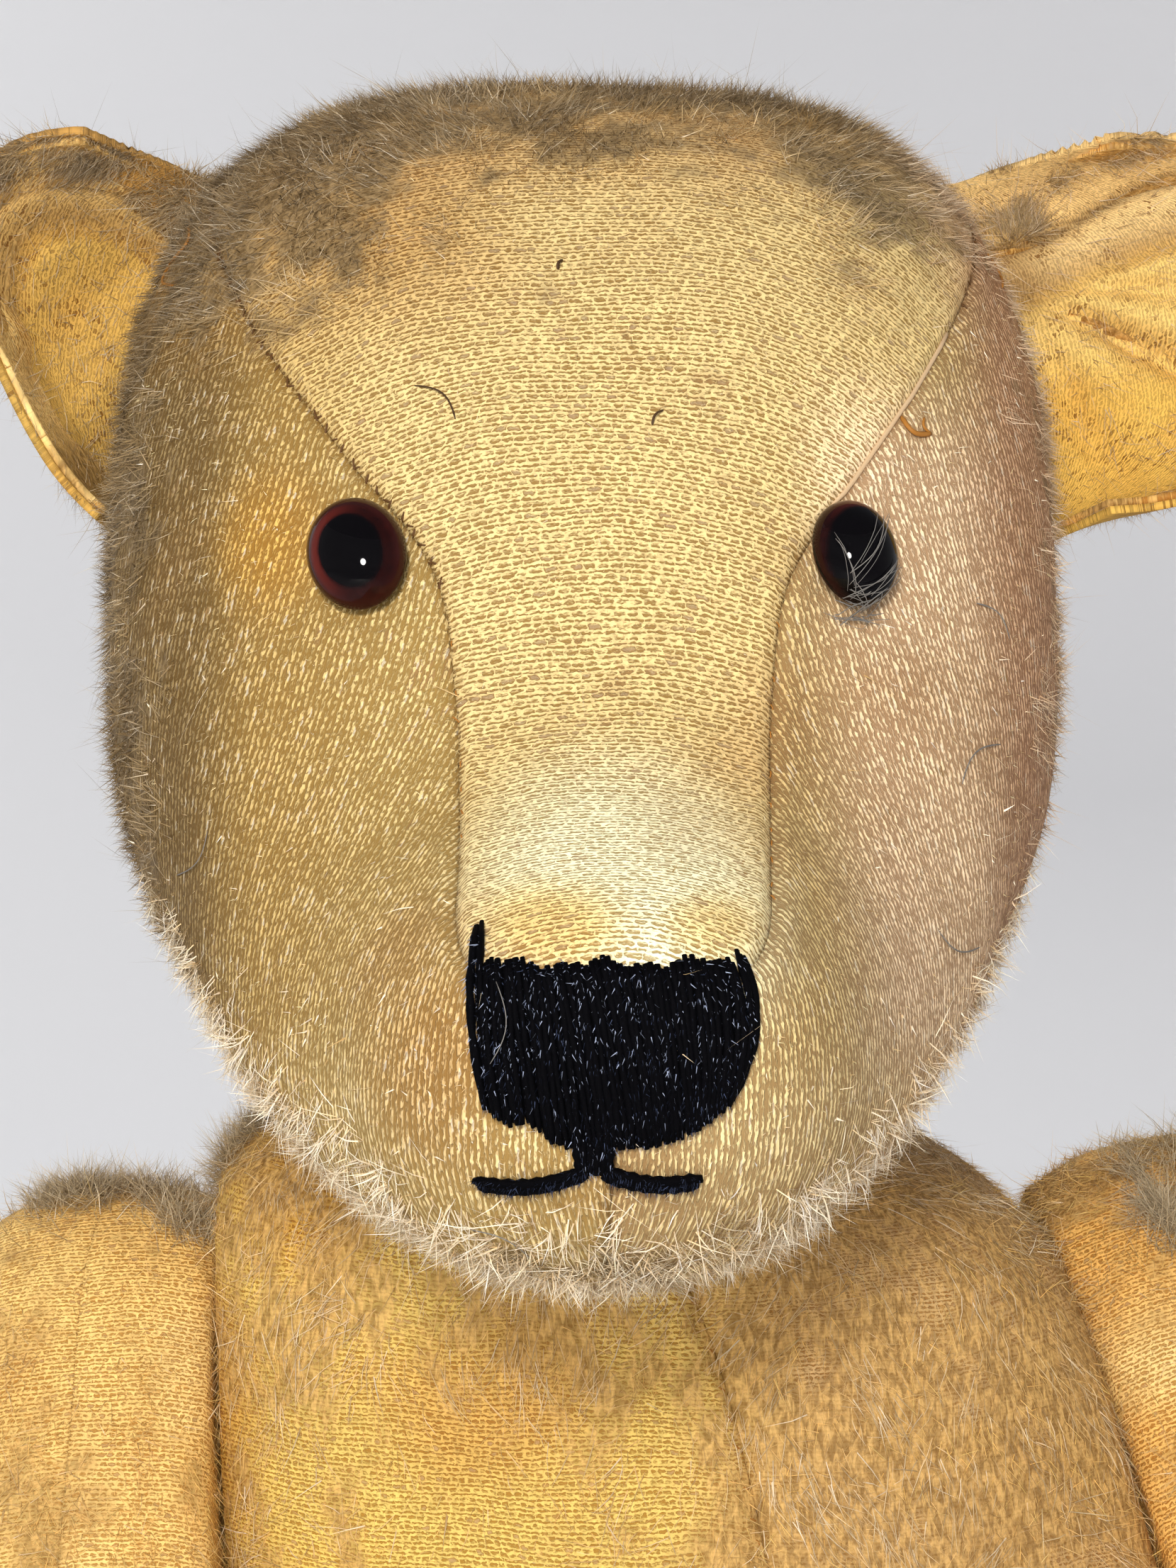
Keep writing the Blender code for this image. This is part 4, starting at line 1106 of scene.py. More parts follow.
def on_face(x, z, lift=0.0):
    """The point of the face at (x, z), raised along its normal, and that normal."""
    point, normal, *_ = face.ray_cast(Vector((x + 0.01, -FAR_IN_FRONT, z)), Vector((0, 1, 0)))
    normal = normal if normal.y < 0 else -normal
    return point + normal * lift, normal


def eye_glass_material():
    made, nodes = new_material("dark_eye_glass", 0.04, Specular_IOR_Level=0.13)
    value, ramp, mix = nodes.value, nodes.ramp, nodes.mix
    across, up = nodes.parts(nodes.uv("iris"))[:2]
    squares = [value("MULTIPLY", part, part) for part in (across, up)]
    away = value("SQRT", value("ADD", *squares))
    streaks = nodes.noise(700, 3, distortion=0.8)
    edge = value("MULTIPLY_ADD", streaks, 0.05, away)
    # Painted light: the ring is painted brighter towards its top and outer side, as if lit through the
    # glass, and dark on the far side.
    painted_lit_side = ramp(value("MULTIPLY_ADD", up, 0.6, across), -0.2, 1.0)
    ring = mix(painted_lit_side, linear(14, 5, 6), linear(92, 30, 23))
    ring = mix(ramp(edge, 0.86, 1.0), ring, linear(40, 12, 10))
    ring = mix(value("MULTIPLY", streaks, 0.5), ring, linear(60, 18, 14))
    nodes.surface(mix(ramp(edge, 0.68, 0.79), linear(6, 5, 7), ring))
    return made


def add_piece(name, data, material, body):
    """Makes a mesh in metres into a piece that rides on a body."""
    data.materials.append(material)
    made = bpy.data.objects.new(name, data)
    bpy.context.scene.collection.objects.link(made)
    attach(made, body)
    return made


eye_glass = eye_glass_material()
for eye, (outer, place, shade, wide, rolled) in EYES.items():
    point, normal = on_face(*place)
    placed = Matrix.Translation(point) @ normal.to_track_quat("X", "Z").to_matrix().to_4x4()
    tall = EYE_TALL * (wide / EYE_WIDE) ** 0.6
    dome = bmesh.new()
    bmesh.ops.create_uvsphere(dome, u_segments=48, v_segments=32, radius=1)
    uv = dome.loops.layers.uv.new("iris")
    for vertex in dome.verts:
        x, y, z = vertex.co
        for loop in vertex.link_loops:
            loop[uv].uv = (outer * y * shade, (z + 0.14) * shade) if x > 0 else (1, z)
        front = EYE_RIM + (EYE_DEPTH - EYE_RIM if x > 0 else 0.7) * x
        vertex.co = (front + GAP, y * EYE_RADIUS * wide, z * EYE_RADIUS * tall)
    bmesh.ops.rotate(dome, verts=dome.verts, matrix=Matrix.Rotation(rolled, 3, "X"))
    bmesh.ops.transform(dome, matrix=Matrix.Scale(MM, 4) @ placed, verts=dome.verts)
    data = bpy.data.meshes.new(f"eye_{eye}_glass")
    dome.to_mesh(data)
    dome.free()
    data.shade_smooth()
    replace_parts(add_piece(data.name, data, eye_glass, "head"), f"eye_{eye}")


# Nose and mouth. Upright satin stitches of black two-ply floss over a small pad, with a stem
# of three stitches down to two long loose stitches for the mouth.

NOSE_TOP, NOSE_FOOT = 177.5, 165.1
NOSE_LEFT_END, NOSE_RIGHT_END = 8.9, -9.2
NOSE_STITCHES, FLOSS = 46, 0.27
STEM_FOOT = 163.3
MOUTH_LEFT, MOUTH_RIGHT = (6.2, 162.5), (-9.5, 162.2)


def floss_material():
    made, nodes = new_material("black_floss", 0.8, Specular_IOR_Level=0.06)
    fibres = nodes.noise(3.0, 4, nodes.stretched(nodes.uv("strand"), 9, 1.2, 1))
    # Painted sheen: blue-grey flecks along the fibres stand in for the floss's shine.
    painted_sheen = nodes.mix(nodes.ramp(fibres, 0.56, 0.68), linear(2, 2, 4), linear(52, 62, 86))
    nodes.surface(painted_sheen, fibres, 1.0, 0.0002)
    return made


def add_strand(mesh, path, radius, twist, sides=8):
    """A two-ply thread along a path, rounded off at both ends, added to a bmesh.

    The path is a list of (point, outward normal), and twist is in turns a millimetre.
    """
    uv = mesh.loops.layers.uv.verify()
    rings, run = [], 0.0
    for i, (point, normal) in enumerate(path):
        before = path[max(i - 1, 0)][0]
        ahead = (path[min(i + 1, len(path) - 1)][0] - before).normalized()
        run += (point - before).length
        across = ahead.cross(normal).normalized()
        size = radius * (0.6 if i in (0, len(path) - 1) else 1.0)
        ring = []
        for k in range(sides):
            turn = 2 * math.pi * k / sides
            ply = 1 + 0.2 * math.cos(2 * (turn - 2 * math.pi * twist * run))
            offset = across * math.cos(turn) + normal * math.sin(turn)
            ring.append(mesh.verts.new(point + offset * size * ply))
        rings.append((ring, run))
    for (first, low), (second, high) in zip(rings, rings[1:]):
        for k in range(sides):
            after = (k + 1) % sides
            quad = mesh.faces.new((first[k], first[after], second[after], second[k]))
            quad.smooth = True
            places = ((k, low), (k + 1, low), (k + 1, high), (k, high))
            for loop, (turn, run) in zip(quad.loops, places):
                loop[uv].uv = (turn / sides, run)
    for ring, _ in (rings[0], rings[-1]):
        mesh.faces.new(ring if ring is rings[-1][0] else ring[::-1])


def finish_strands(mesh, name, material, body):
    """Turns a bmesh of strands in millimetres into a piece that rides on a body."""
    bmesh.ops.recalc_face_normals(mesh, faces=mesh.faces)
    bmesh.ops.scale(mesh, vec=(MM, MM, MM), verts=mesh.verts)
    data = bpy.data.meshes.new(name)
    mesh.to_mesh(data)
    mesh.free()
    return add_piece(name, data, material, body)


def face_path(start, end, steps, lift, sway=0.0):
    """A path over the face between two (x, z) places, as (point, normal) pairs."""
    path = []
    for i in range(steps + 1):
        f = i / steps
        x = start[0] + (end[0] - start[0]) * f + sway * math.sin(math.pi * f)
        z = start[1] + (end[1] - start[1]) * f
        arch = 0.55 + 0.45 * math.sin(math.pi * min(max(f, 0.08), 0.92))
        path.append(on_face(x, z, lift * arch))
    return path


def nose_foot(x):
    """The height of the nose's lower edge: flat in the middle, with a notch to one side."""
    off = x + 0.5
    notch = 0.9 * math.exp(-(((x + 5.6) / 1.1) ** 2))
    return NOSE_FOOT + 0.02 * off**2 + 0.00035 * off**4 + notch


floss = floss_material()
random.seed(7)
stitches = bmesh.new()
for layer, lift, offset in ((0, 0.45, 0.5), (1, 0.95, 0.0)):
    for i in range(NOSE_STITCHES - layer):
        f = (i + offset * (1 - layer)) / (NOSE_STITCHES - 1)
        top_x = NOSE_RIGHT_END + (NOSE_LEFT_END - NOSE_RIGHT_END) * f
        middle = 1 - abs(2 * f - 1) ** 1.5
        foot_x = top_x * 0.93 + 2.2 * middle
        top_z = NOSE_TOP + random.uniform(-0.12, 0.12)
        top_z += 0.2 * math.sin(17 * f) + 0.16 * math.sin(41 * f + 1)
        foot_z = nose_foot(foot_x) + random.uniform(-0.15, 0.15)
        bulge = (0.9 if f > 0.5 else 0.5) * (2 * f - 1) ** 3
        if f < 0.03:
            top_z += 2.0
        elif f > 0.97:
            top_z += 0.7
        else:
            top_z -= 0.5 * max(0, 2 * abs(f - 0.5) - 0.86) / 0.14
        tilt = random.uniform(-0.12, 0.12)
        raised, sway = lift + random.uniform(-0.1, 0.1), bulge + random.uniform(0, 0.2)
        path = face_path((top_x + tilt, top_z), (foot_x - tilt, foot_z), 14, raised, sway)
        add_strand(stitches, path, FLOSS * random.uniform(0.85, 1.15), random.uniform(0.45, 0.75))
for x in (-2.35, -1.95, -1.5, -1.05, -0.6, -0.2):
    path = face_path((x * 1.25 + 0.3, NOSE_FOOT + 1.2), (x * 0.85 - 0.2, STEM_FOOT - 0.1), 8, 0.6)
    add_strand(stitches, path, FLOSS * 1.15, 0.6)
nose = finish_strands(stitches, "nose_stitching_floss", floss, "head")
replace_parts(nose, "nose_stitching")

strokes = bmesh.new()
for end, radius in ((MOUTH_RIGHT, 0.36), (MOUTH_LEFT, 0.4)):
    start_x = -1.7 if end is MOUTH_RIGHT else -0.7
    for drop, share in ((0.3, 1.0), (-0.15, 0.96)):
        path = []
        for k in range(17):
            f = k / 16
            x = start_x + (end[0] * share - start_x) * f
            z = STEM_FOOT + drop + (end[1] - STEM_FOOT) * f**0.8 - 0.35 * math.sin(math.pi * f)
            path.append(on_face(x, z, 0.3 + 0.25 * math.sin(math.pi * min(max(f, 0.1), 0.9))))
        add_strand(strokes, path, radius, 0.5)
mouth = finish_strands(strokes, "mouth_stitching_floss", floss, "head")
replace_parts(mouth, "mouth_stitching")


# Pile. What is left of the mohair plush: short matted fibres on the crown, jaw, back and limbs,
# pale tufts round the chin, wisps on the chest, and stubble and stray fibres on the bare face.

def read_layer(layer, field, width):
    values = np.empty(len(layer) * width)
    layer.foreach_get(field, values)
    return values.reshape(-1, width)


def swirls(points, size, seed):
    return np.array([[lumps(p, size, seed + k) for k in range(3)] for p in points])


# How much fibres differ in shade, how deep their roots are and how low the lowest may hang.
SHADE_SPREAD, ROOT_DEPTH, LOWEST = 0.45, 0.15, 0.05


def coloured(places, glint, rng):
    """Shades for fibres, from the colours at their roots, with a share that catch the light."""
    shade = places * rng.uniform(1 - SHADE_SPREAD, 1 + SHADE_SPREAD, (len(places), 1))
    bright = rng.random(len(places)) < glint
    shade[bright] = shade[bright] * 0.4 + np.array(linear(250, 236, 210)) * 0.6
    return np.clip(shade, 0, 1)


def unit(rows, least=1e-6):
    return rows / np.maximum(np.linalg.norm(rows, axis=1), least)[:, None]


def fibre_material(name, roughness, specular):
    made, nodes = new_material(name, roughness, Specular_IOR_Level=specular)
    nodes.surface(nodes.attribute("shade", "Color"))
    return made


fibre = fibre_material("mohair_fibre", 0.45, 0.35)
floss_fibre = fibre_material("floss_fibre", 0.8, 0.06)


def plant(
    name, cloth, body, seed, count, wanted, comb, shades, length, width, lift,
    parts=1, curl=0.0, glint=0.02, stray=0.6, material=fibre,
):
    """Plants fibres on a cloth piece and returns them as one mesh of slivers.

    wanted and shades are functions of the cloth's points (an array) and its pile mask: how
    thickly fibres grow, and their root and tip colours. comb, of its points and normals, is
    the way they lie. length, width and lift are ranges, in millimetres and degrees off the
    cloth. Each fibre has parts segments, and stray is how far they leave the comb.
    """
    rng = np.random.default_rng(seed)
    data = cloth.data
    data.calc_loop_triangles()
    skin = read_layer(data.vertices, "co", 3) / MM
    normals = read_layer(data.vertices, "normal", 3)
    pile = read_layer(data.attributes["pile"].data, "value", 1)[:, 0]
    lie = comb(skin, normals) + 0.0
    roots, tips = shades(skin, pile)
    corners = read_layer(data.loop_triangles, "vertices", 3).astype(int)
    a, b, c = (skin[corners[:, k]] for k in range(3))
    area = np.linalg.norm(np.cross(b - a, c - a), axis=1)
    thick = wanted(skin, pile)[corners].mean(axis=1) * area
    chosen = corners[rng.choice(len(corners), count, p=thick / thick.sum())]
    share = rng.dirichlet((1, 1, 1), count)[:, :, None]
    at, normal, lie, roots, tips = (
        (values[chosen] * share).sum(axis=1) for values in (skin, normals, lie, roots, tips)
    )
    normal = unit(normal)
    lie = lie + rng.normal(0, stray, (count, 3))
    lie = unit(lie - normal * (lie * normal).sum(axis=1)[:, None])
    raised = np.radians(rng.uniform(*lift, count))[:, None]
    ahead = lie * np.cos(raised) + normal * np.sin(raised)
    side = unit(np.cross(ahead, normal))
    facing = np.cross(side, ahead)
    roll = rng.uniform(-0.9, 0.9, (count, 1))
    side = side * np.cos(roll) + facing * np.sin(roll)
    long = rng.uniform(*length, count)[:, None]
    half = rng.uniform(*width, count)[:, None] / 2
    bend = (lie * 0.5 - normal * 0.35 + rng.normal(0, 0.5, (count, 3))) * curl
    across = 2 * parts + 1
    points = np.empty((count, across, 3))
    colours = np.ones((count, across, 4))
    root_shade, tip_shade = coloured(roots, glint, rng), coloured(tips, glint, rng)
    for k in range(parts + 1):
        f = k / parts
        centre = at - normal * ROOT_DEPTH + long * (ahead * f + bend * f * f)
        colours[:, 2 * k:2 * k + 2, :3] = (root_shade + (tip_shade - root_shade) * f)[:, None]
        if k < parts:
            aside = side * half * (1 - 0.5 * f)
            points[:, 2 * k], points[:, 2 * k + 1] = centre - aside, centre + aside
        else:
            points[:, -1] = centre
    points[..., 2] = np.maximum(points[..., 2], LOWEST)
    first = np.arange(count)[:, None] * across
    strip = []
    for k in range(parts - 1):
        strip += [2 * k, 2 * k + 1, 2 * k + 3, 2 * k + 2]
    strip += [across - 3, across - 2, across - 1]
    sizes = np.array([4] * (parts - 1) + [3])
    starts = np.concatenate(([0], np.cumsum(np.tile(sizes, count))[:-1]))
    made = bpy.data.meshes.new(name)
    made.vertices.add(count * across)
    made.vertices.foreach_set("co", (points * MM).ravel())
    made.loops.add(count * len(strip))
    made.loops.foreach_set("vertex_index", (first + np.array(strip)).ravel())
    made.polygons.add(len(starts))
    made.polygons.foreach_set("loop_start", starts)
    made.update(calc_edges=True)
    made.validate()
    layer = made.color_attributes.new("shade", "FLOAT_COLOR", "POINT")
    layer.data.foreach_set("color", colours.ravel())
    return add_piece(name, made, material, body)


def matted(points, size, seed, stretch=(1, 1, 1)):
    """0 to 1: where fibres have kept together in mats and where the cloth shows between them."""
    return smoothstep(patches(points * np.array(stretch), size, seed) * 1.6 + 0.5)


def in_mats(p, pile, least, ragged, *mats):
    """How thickly short pile grows: in mats, where the pile mask passes a least value."""
    return smoothstep((pile - least + ragged * (matted(p, *mats) - 0.5)) / 0.6)


def mixed_shades(ends, worn_ends, share):
    """Root and tip colours that go from one pair of colours to another by a share."""

    def shades(points, pile):
        part = share(points, pile)
        return tuple(blend_tint(end, (worn, part)) for end, worn in zip(ends, worn_ends))

    return shades


def plain_shades(*ends):
    return mixed_shades(ends, ends, lambda points, pile: 0 * pile)


def head_comb(points, normals):
    x, y, z = points.T
    down = np.column_stack((0.03 * x, 0.02 * (y + 20), -0.5 + 0 * z))
    return down + 1.3 * swirls(points, 11, 201) + 1.6 * swirls(points, 4, 205)


def head_shades(points, pile):
    x, y, z = points.T
    rows = (
        ((190, 156, 100), (226, 198, 146), 0.8 * smoothstep(1.2 - 1.3 * pile)),
        ((160, 126, 74), (190, 160, 106), smoothstep(patches(points, 10, 211) * 1.5) * 0.6),
        ((176, 146, 112), (214, 190, 160), smoothstep((x - 26) / 12) * (y < -10)),
        ((206, 178, 134), (246, 230, 202), smoothstep((172 - z) / 16) * (y < -20)),
        ((92, 76, 54), (130, 110, 80), 0.6 * smoothstep((-x - 28) / 8)),
        ((156, 126, 80), (206, 174, 120), 0.75 * smoothstep((y + 26) / 26)),
    )
    roots = blend_tint((112, 94, 68), *((root, share) for root, _, share in rows))
    return roots, blend_tint((154, 134, 104), *((tip, share) for _, tip, share in rows))


def head_wanted(p, pile):
    return in_mats(p, pile, 0.2, 0.9, 2.8, 221, (0.7, 1, 1)) * smoothstep(pile / 0.2) + 0.002


stubble_shades = mixed_shades(
    ((206, 168, 108), (255, 238, 190)), ((148, 114, 66), (190, 154, 100)),
    lambda p, pile: matted(p, 2.2, 231),
)
HEAD_SHORT = {"head_gusset": 46000, "head_side_left": 54000, "head_side_right": 56000}
for number, (key, cloth) in enumerate(head_cloths.items()):
    plant(
        f"{key}_pile", cloth, "head", 300 + number, HEAD_SHORT[key], head_wanted,
        head_comb, head_shades, (1.2, 3.0), (0.08, 0.15), (10, 60), glint=0.05,
    )
    plant(
        f"{key}_long_fibres", cloth, "head", 310 + number, 6500,
        lambda p, pile: pile**1.5 + 0.02,
        head_comb, head_shades, (1.8, 4.2), (0.03, 0.06), (20, 75), parts=2, curl=0.9, glint=0.28,
    )
    plant(
        f"{key}_stubble", cloth, "head", 320 + number, 10000,
        lambda p, pile: (1.02 - pile) * (p[:, 1] < -25),
        head_comb, stubble_shades, (0.3, 0.9), (0.06, 0.12), (5, 45), glint=0.14,
    )


def floss_comb(points, normals):
    return np.array((-0.12, 0, -1)) + 0.5 * swirls(points, 3, 255)


# Black floss fuzz; its blue-grey flecks are painted sheen.
floss_shades_and_sheen = mixed_shades(
    ((3, 3, 5), (5, 5, 8)), ((26, 30, 44), (84, 96, 128)),
    lambda p, pile: matted(p, 0.4, 257) ** 3,
)
for number, (piece, count) in enumerate(((nose, 11000), (mouth, 1400))):
    everywhere = piece.data.attributes.new("pile", "FLOAT", "POINT")
    everywhere.data.foreach_set("value", np.ones(len(piece.data.vertices)))
    plant(
        piece.name.replace("floss", "fuzz"), piece, "head", 325 + number, count,
        lambda p, pile: pile, floss_comb, floss_shades_and_sheen,
        (0.35, 0.95), (0.05, 0.09), (4, 26), glint=0.0, stray=0.25, material=floss_fibre,
    )


# Pale blue-grey fibres, thicker towards the top of the nose: painted sheen on the floss.
plant(
    "nose_stitching_sheen", nose, "head", 328, 4200,
    lambda p, pile: 0.3 + smoothstep((p[:, 2] - 168) / 8),
    floss_comb, plain_shades((78, 86, 108), (172, 182, 206)),
    (0.4, 0.95), (0.07, 0.13), (8, 34), glint=0.0, stray=0.35, material=floss_fibre,
)


def chin_wanted(points, pile):
    x, y, z = points.T
    edge = 160.5 + 0.013 * x**2
    locks = matted(points, 1.7, 241)
    return (0.02 + locks**4) * smoothstep((edge - z + 4 * (locks - 0.5)) / 6) * (y < -40) + 1e-6


def curls_wanted(points, pile):
    x, y, z = points.T
    places = (0.15 + smoothstep((196 - z) / 30) + 0.5 * (x > 20)) * (y < -20)
    return matted(points, 1.5, 245) ** 3 * places * (1.05 - pile) + 1e-6


def chin_comb(points, normals):
    hanging = np.column_stack((0.02 * points[:, 0], points[:, (0, 0)] * 0 + (-0.2, -0.5)))
    return normals * 0.6 + hanging + 1.6 * swirls(points, 2.2, 251)


for key, count in (("head_side_left", 6200), ("head_side_right", 6600)):
    plant(
        f"{key}_chin_locks", head_cloths[key], "head", 330, count, chin_wanted, chin_comb,
        plain_shades((206, 174, 124), (252, 242, 222)),
        (1.6, 3.4), (0.07, 0.13), (12, 60), parts=2, curl=0.45, glint=0.4, stray=0.16,
    )
    plant(
        f"{key}_curls", head_cloths[key], "head", 335, 2200, curls_wanted, head_comb,
        plain_shades((222, 190, 146), (250, 236, 212)),
        (0.3, 0.75), (0.12, 0.22), (5, 45), parts=2, curl=1.2, glint=0.4,
    )


def body_comb(points, normals):
    return np.array((0, 0, -0.7)) + 1.3 * swirls(points, 11, 261)


body_shades = mixed_shades(
    ((204, 158, 84), (236, 196, 118)), ((184, 146, 92), (222, 190, 138)),
    lambda p, pile: smoothstep(patches(p, 8, 271) * 1.5 + 0.2),
)
wisp_shades = mixed_shades(
    ((178, 144, 92), (226, 206, 170)), ((204, 164, 100), (220, 188, 130)),
    lambda p, pile: 1 - pile,
)


def wisps_wanted(p, pile):
    on_chest = 1 + 3 * (p[:, 1] < 0) * (p[:, 2] > 70)
    return (0.1 + pile) * matted(p @ SLANTED, 2.6, 291) ** 3 * on_chest + 0.001


for number, (name, cloth) in enumerate(torso_cloths.items()):
    plant(
        f"{name}_pile", cloth, "torso", 340 + number, 38000,
        lambda p, pile: in_mats(p, pile, 0.3, 0.9, 3.4, 281, (1.2, 1.2, 0.5)) + 0.01,
        body_comb, body_shades, (1.4, 3.4), (0.07, 0.13), (5, 32),
    )
    plant(
        f"{name}_wisps", cloth, "torso", 350 + number, 8000, wisps_wanted,
        body_comb, wisp_shades, (2.0, 4.6), (0.07, 0.14), (6, 34), parts=2, curl=0.5, glint=0.16, stray=0.25,
    )

LIMB_SHORT = {"arm": 10500, "leg": 9500}
for number, (key, cloth) in enumerate(limb_cloths.items()):
    if key.endswith("_felt"):
        continue
    limb = key.rsplit("_", 1)[0]
    plant(
        f"{key}_pile", cloth, limb, 360 + number, LIMB_SHORT[key[:3]],
        lambda p, pile: in_mats(p, pile, 0.3, 0.8, 3.4, 281) + 0.02,
        body_comb, body_shades, (1.4, 3.2), (0.08, 0.15), (8, 38),
    )
    plant(
        f"{key}_long_fibres", cloth, limb, 380 + number, 1500,
        lambda p, pile: pile**2 + 0.03,
        body_comb, body_shades, (2.6, 5.0), (0.045, 0.08), (15, 60), parts=2, curl=0.6, glint=0.12,
    )


def ear_comb(ear):
    apex = np.array(EARS[ear][7])

    def comb(points, normals):
        x, z = (points[:, (0, 2)] - apex).T
        return unit(np.column_stack((x, 0 * x, z)), 1) * 1.2 + 0.8 * swirls(points, 6, 301)

    return comb


ear_shades = mixed_shades(
    ((164, 134, 88), (206, 176, 120)), ((150, 128, 98), (190, 166, 128)), lambda p, pile: pile
)
for number, (key, cloth) in enumerate(ear_cloths.items()):
    ear, layer = key.split("_")
    plant(
        f"ear_{key}_pile", cloth, "head", 400 + number, 11000 if layer == "back" else 6000,
        lambda p, pile: pile**1.5 + 0.004,
        ear_comb(ear), ear_shades, (1.2, 2.8), (0.07, 0.13), (8, 45), glint=0.05,
    )
    plant(
        f"ear_{key}_long_fibres", cloth, "head", 410 + number, 1200,
        lambda p, pile: pile + 0.03,
        ear_comb(ear), head_shades, (2.2, 4.8), (0.04, 0.075), (12, 60), parts=2, curl=0.6, glint=0.15,
    )


# Tufts. Longer mohair of the same cloth, left where nothing rubs it: on the tops of the arms, on
# the right shoulder under the chin and along the right ear's edge.

TUFT_LENGTH, TUFT_WIDTH = (2.6, 5.2), (0.05, 0.1)
# How many fibres a panel, then places with their radii.
TUFTS = {
    "arm_right": (
        1500, ((-44.5, -3, 150.5), 4.5), ((-50, -2, 151), 4.5), ((-57, -2, 149), 4),
        ((-41.5, -9, 144), 2.5),
    ),
    "arm_left": (
        1200, ((68, -3, 150.5), 4.5), ((74, -2, 150.5), 4.5), ((80, -3, 148), 4),
        ((65, -10, 144), 2.2),
    ),
}
SHOULDER_TUFTS = (((-38, -3, 148), 4.5), ((-35, -2, 153), 5), ((-31, -2, 158), 5), ((-26, -6, 161), 4))
EAR_TUFTS = (
    ((-42, 3, 259), 4), ((-48, 2, 261), 4), ((-56, 1, 261), 4), ((-61, -3, 230), 4),
    ((-57, -3, 221), 4),
)


def tuft_comb(points, normals):
    return normals * 1.2 + np.array((0, -0.3, 0.6)) + 0.9 * swirls(points, 6, 311)


def tuft_wanted(places):
    return lambda p, pile: 1e-6 + sum(
        np.exp(-((np.linalg.norm(p - np.array(place), axis=1) / reach) ** 2))
        for place, reach in places
    )


tuft_shades = plain_shades((150, 128, 92), (206, 186, 152))
for limb, (count, *places) in TUFTS.items():
    for part in ("inner", "outer"):
        plant(
            f"{limb}_{part}_tuft", limb_cloths[f"{limb}_{part}"], limb, 420, count,
            tuft_wanted(places), tuft_comb, tuft_shades,
            TUFT_LENGTH, TUFT_WIDTH, (20, 70), parts=2, curl=0.4, glint=0.06,
        )
plant(
    "torso_right_shoulder_tuft", torso_cloths["torso_right"], "torso", 425, 2600,
    tuft_wanted(SHOULDER_TUFTS), tuft_comb, tuft_shades,
    TUFT_LENGTH, TUFT_WIDTH, (20, 70), parts=2, curl=0.4, glint=0.06,
)
for layer in ("back", "front"):
    plant(
        f"ear_right_{layer}_edge_tufts", ear_cloths[f"right_{layer}"], "head", 427, 1100,
        tuft_wanted(EAR_TUFTS), tuft_comb, tuft_shades,
        (1.2, 3.2), TUFT_WIDTH, (15, 60), parts=2, curl=0.4, glint=0.06,
    )


# Thread and stray hairs. Brown and amber sewing thread shows along the gusset's seams, the ear
# and the chest; grey lint is caught on one eye; and a few long hairs stand off the head.

def thread_material(name, dark, bright):
    made, nodes = new_material(name, 0.55, Specular_IOR_Level=0.3)
    along = nodes.noise(4, 3, nodes.uv("strand"))
    nodes.surface(nodes.mix(along, linear(*dark), linear(*bright)))
    return made


def skin_of(pieces):
    """The outsides of cloth pieces as one surface, in millimetres."""
    corners, faces = [], []
    for piece in pieces:
        start = len(corners)
        corners += [v.co / MM for v in piece.data.vertices]
        faces += [[start + k for k in polygon.vertices] for polygon in piece.data.polygons]
    return BVHTree.FromPolygons(corners, faces)


def sew(mesh, skin, path, span, gap, length, radius, slant):
    """Stitches along the part of a path given by span, as shares of its length."""

    def on_path(run):
        return Vector([np.interp(run, lengths, [p[k] for p in path]) for k in range(3)])

    lengths = np.r_[0, np.cumsum([(b - a).length for a, b in zip(path, path[1:])])]
    run = lengths[-1] * span[0]
    while run < lengths[-1] * span[1]:
        before, after = on_path(run - 0.4), on_path(run + 0.4)
        ahead = (after - before).normalized()
        centre, normal, *_ = skin.find_nearest((before + after) / 2)
        turn = Matrix.Rotation(math.radians(slant + random.uniform(-28, 28)), 3, normal)
        ahead = turn @ (ahead - normal * ahead.dot(normal)).normalized()
        size = length * random.uniform(0.7, 1.25)
        strand = []
        for k in range(6):
            f = k / 5
            lift = 0.16 * math.sin(math.pi * f) - 0.05
            strand.append((centre + ahead * (f - 0.5) * size + normal * lift, normal))
        add_strand(mesh, strand, radius, 0.8, 6)
        run += gap * random.uniform(0.6, 1.5)


def hair(mesh, skin, sides, start, end, bow, radius, lift):
    """A loose hair over a surface between two (x, z) places, bowed sideways and standing off."""
    start, end = Vector((start[0], 0, start[1])), Vector((end[0], 0, end[1]))
    aside = (end - start).cross(Vector((0, 1, 0))).normalized()
    strand = []
    for k in range(13):
        f = k / 12
        flat = start.lerp(end, f) + aside * bow * math.sin(math.pi * f)
        from_in_front = Vector((flat.x + 0.01, -FAR_IN_FRONT, flat.z))
        point, normal, *_ = skin.ray_cast(from_in_front, Vector((0, 1, 0)))
        strand.append((point - Vector((0, lift + 0.3 * math.sin(math.pi * f), 0)), normal))
    add_strand(mesh, strand, radius, 0, sides)


random.seed(19)
head_skin = skin_of(head_cloths.values())
seam_paths = {
    side: [Vector(ring[0 if side < 0 else -1]) for ring in gusset_rings] for side in (-1, 1)
}
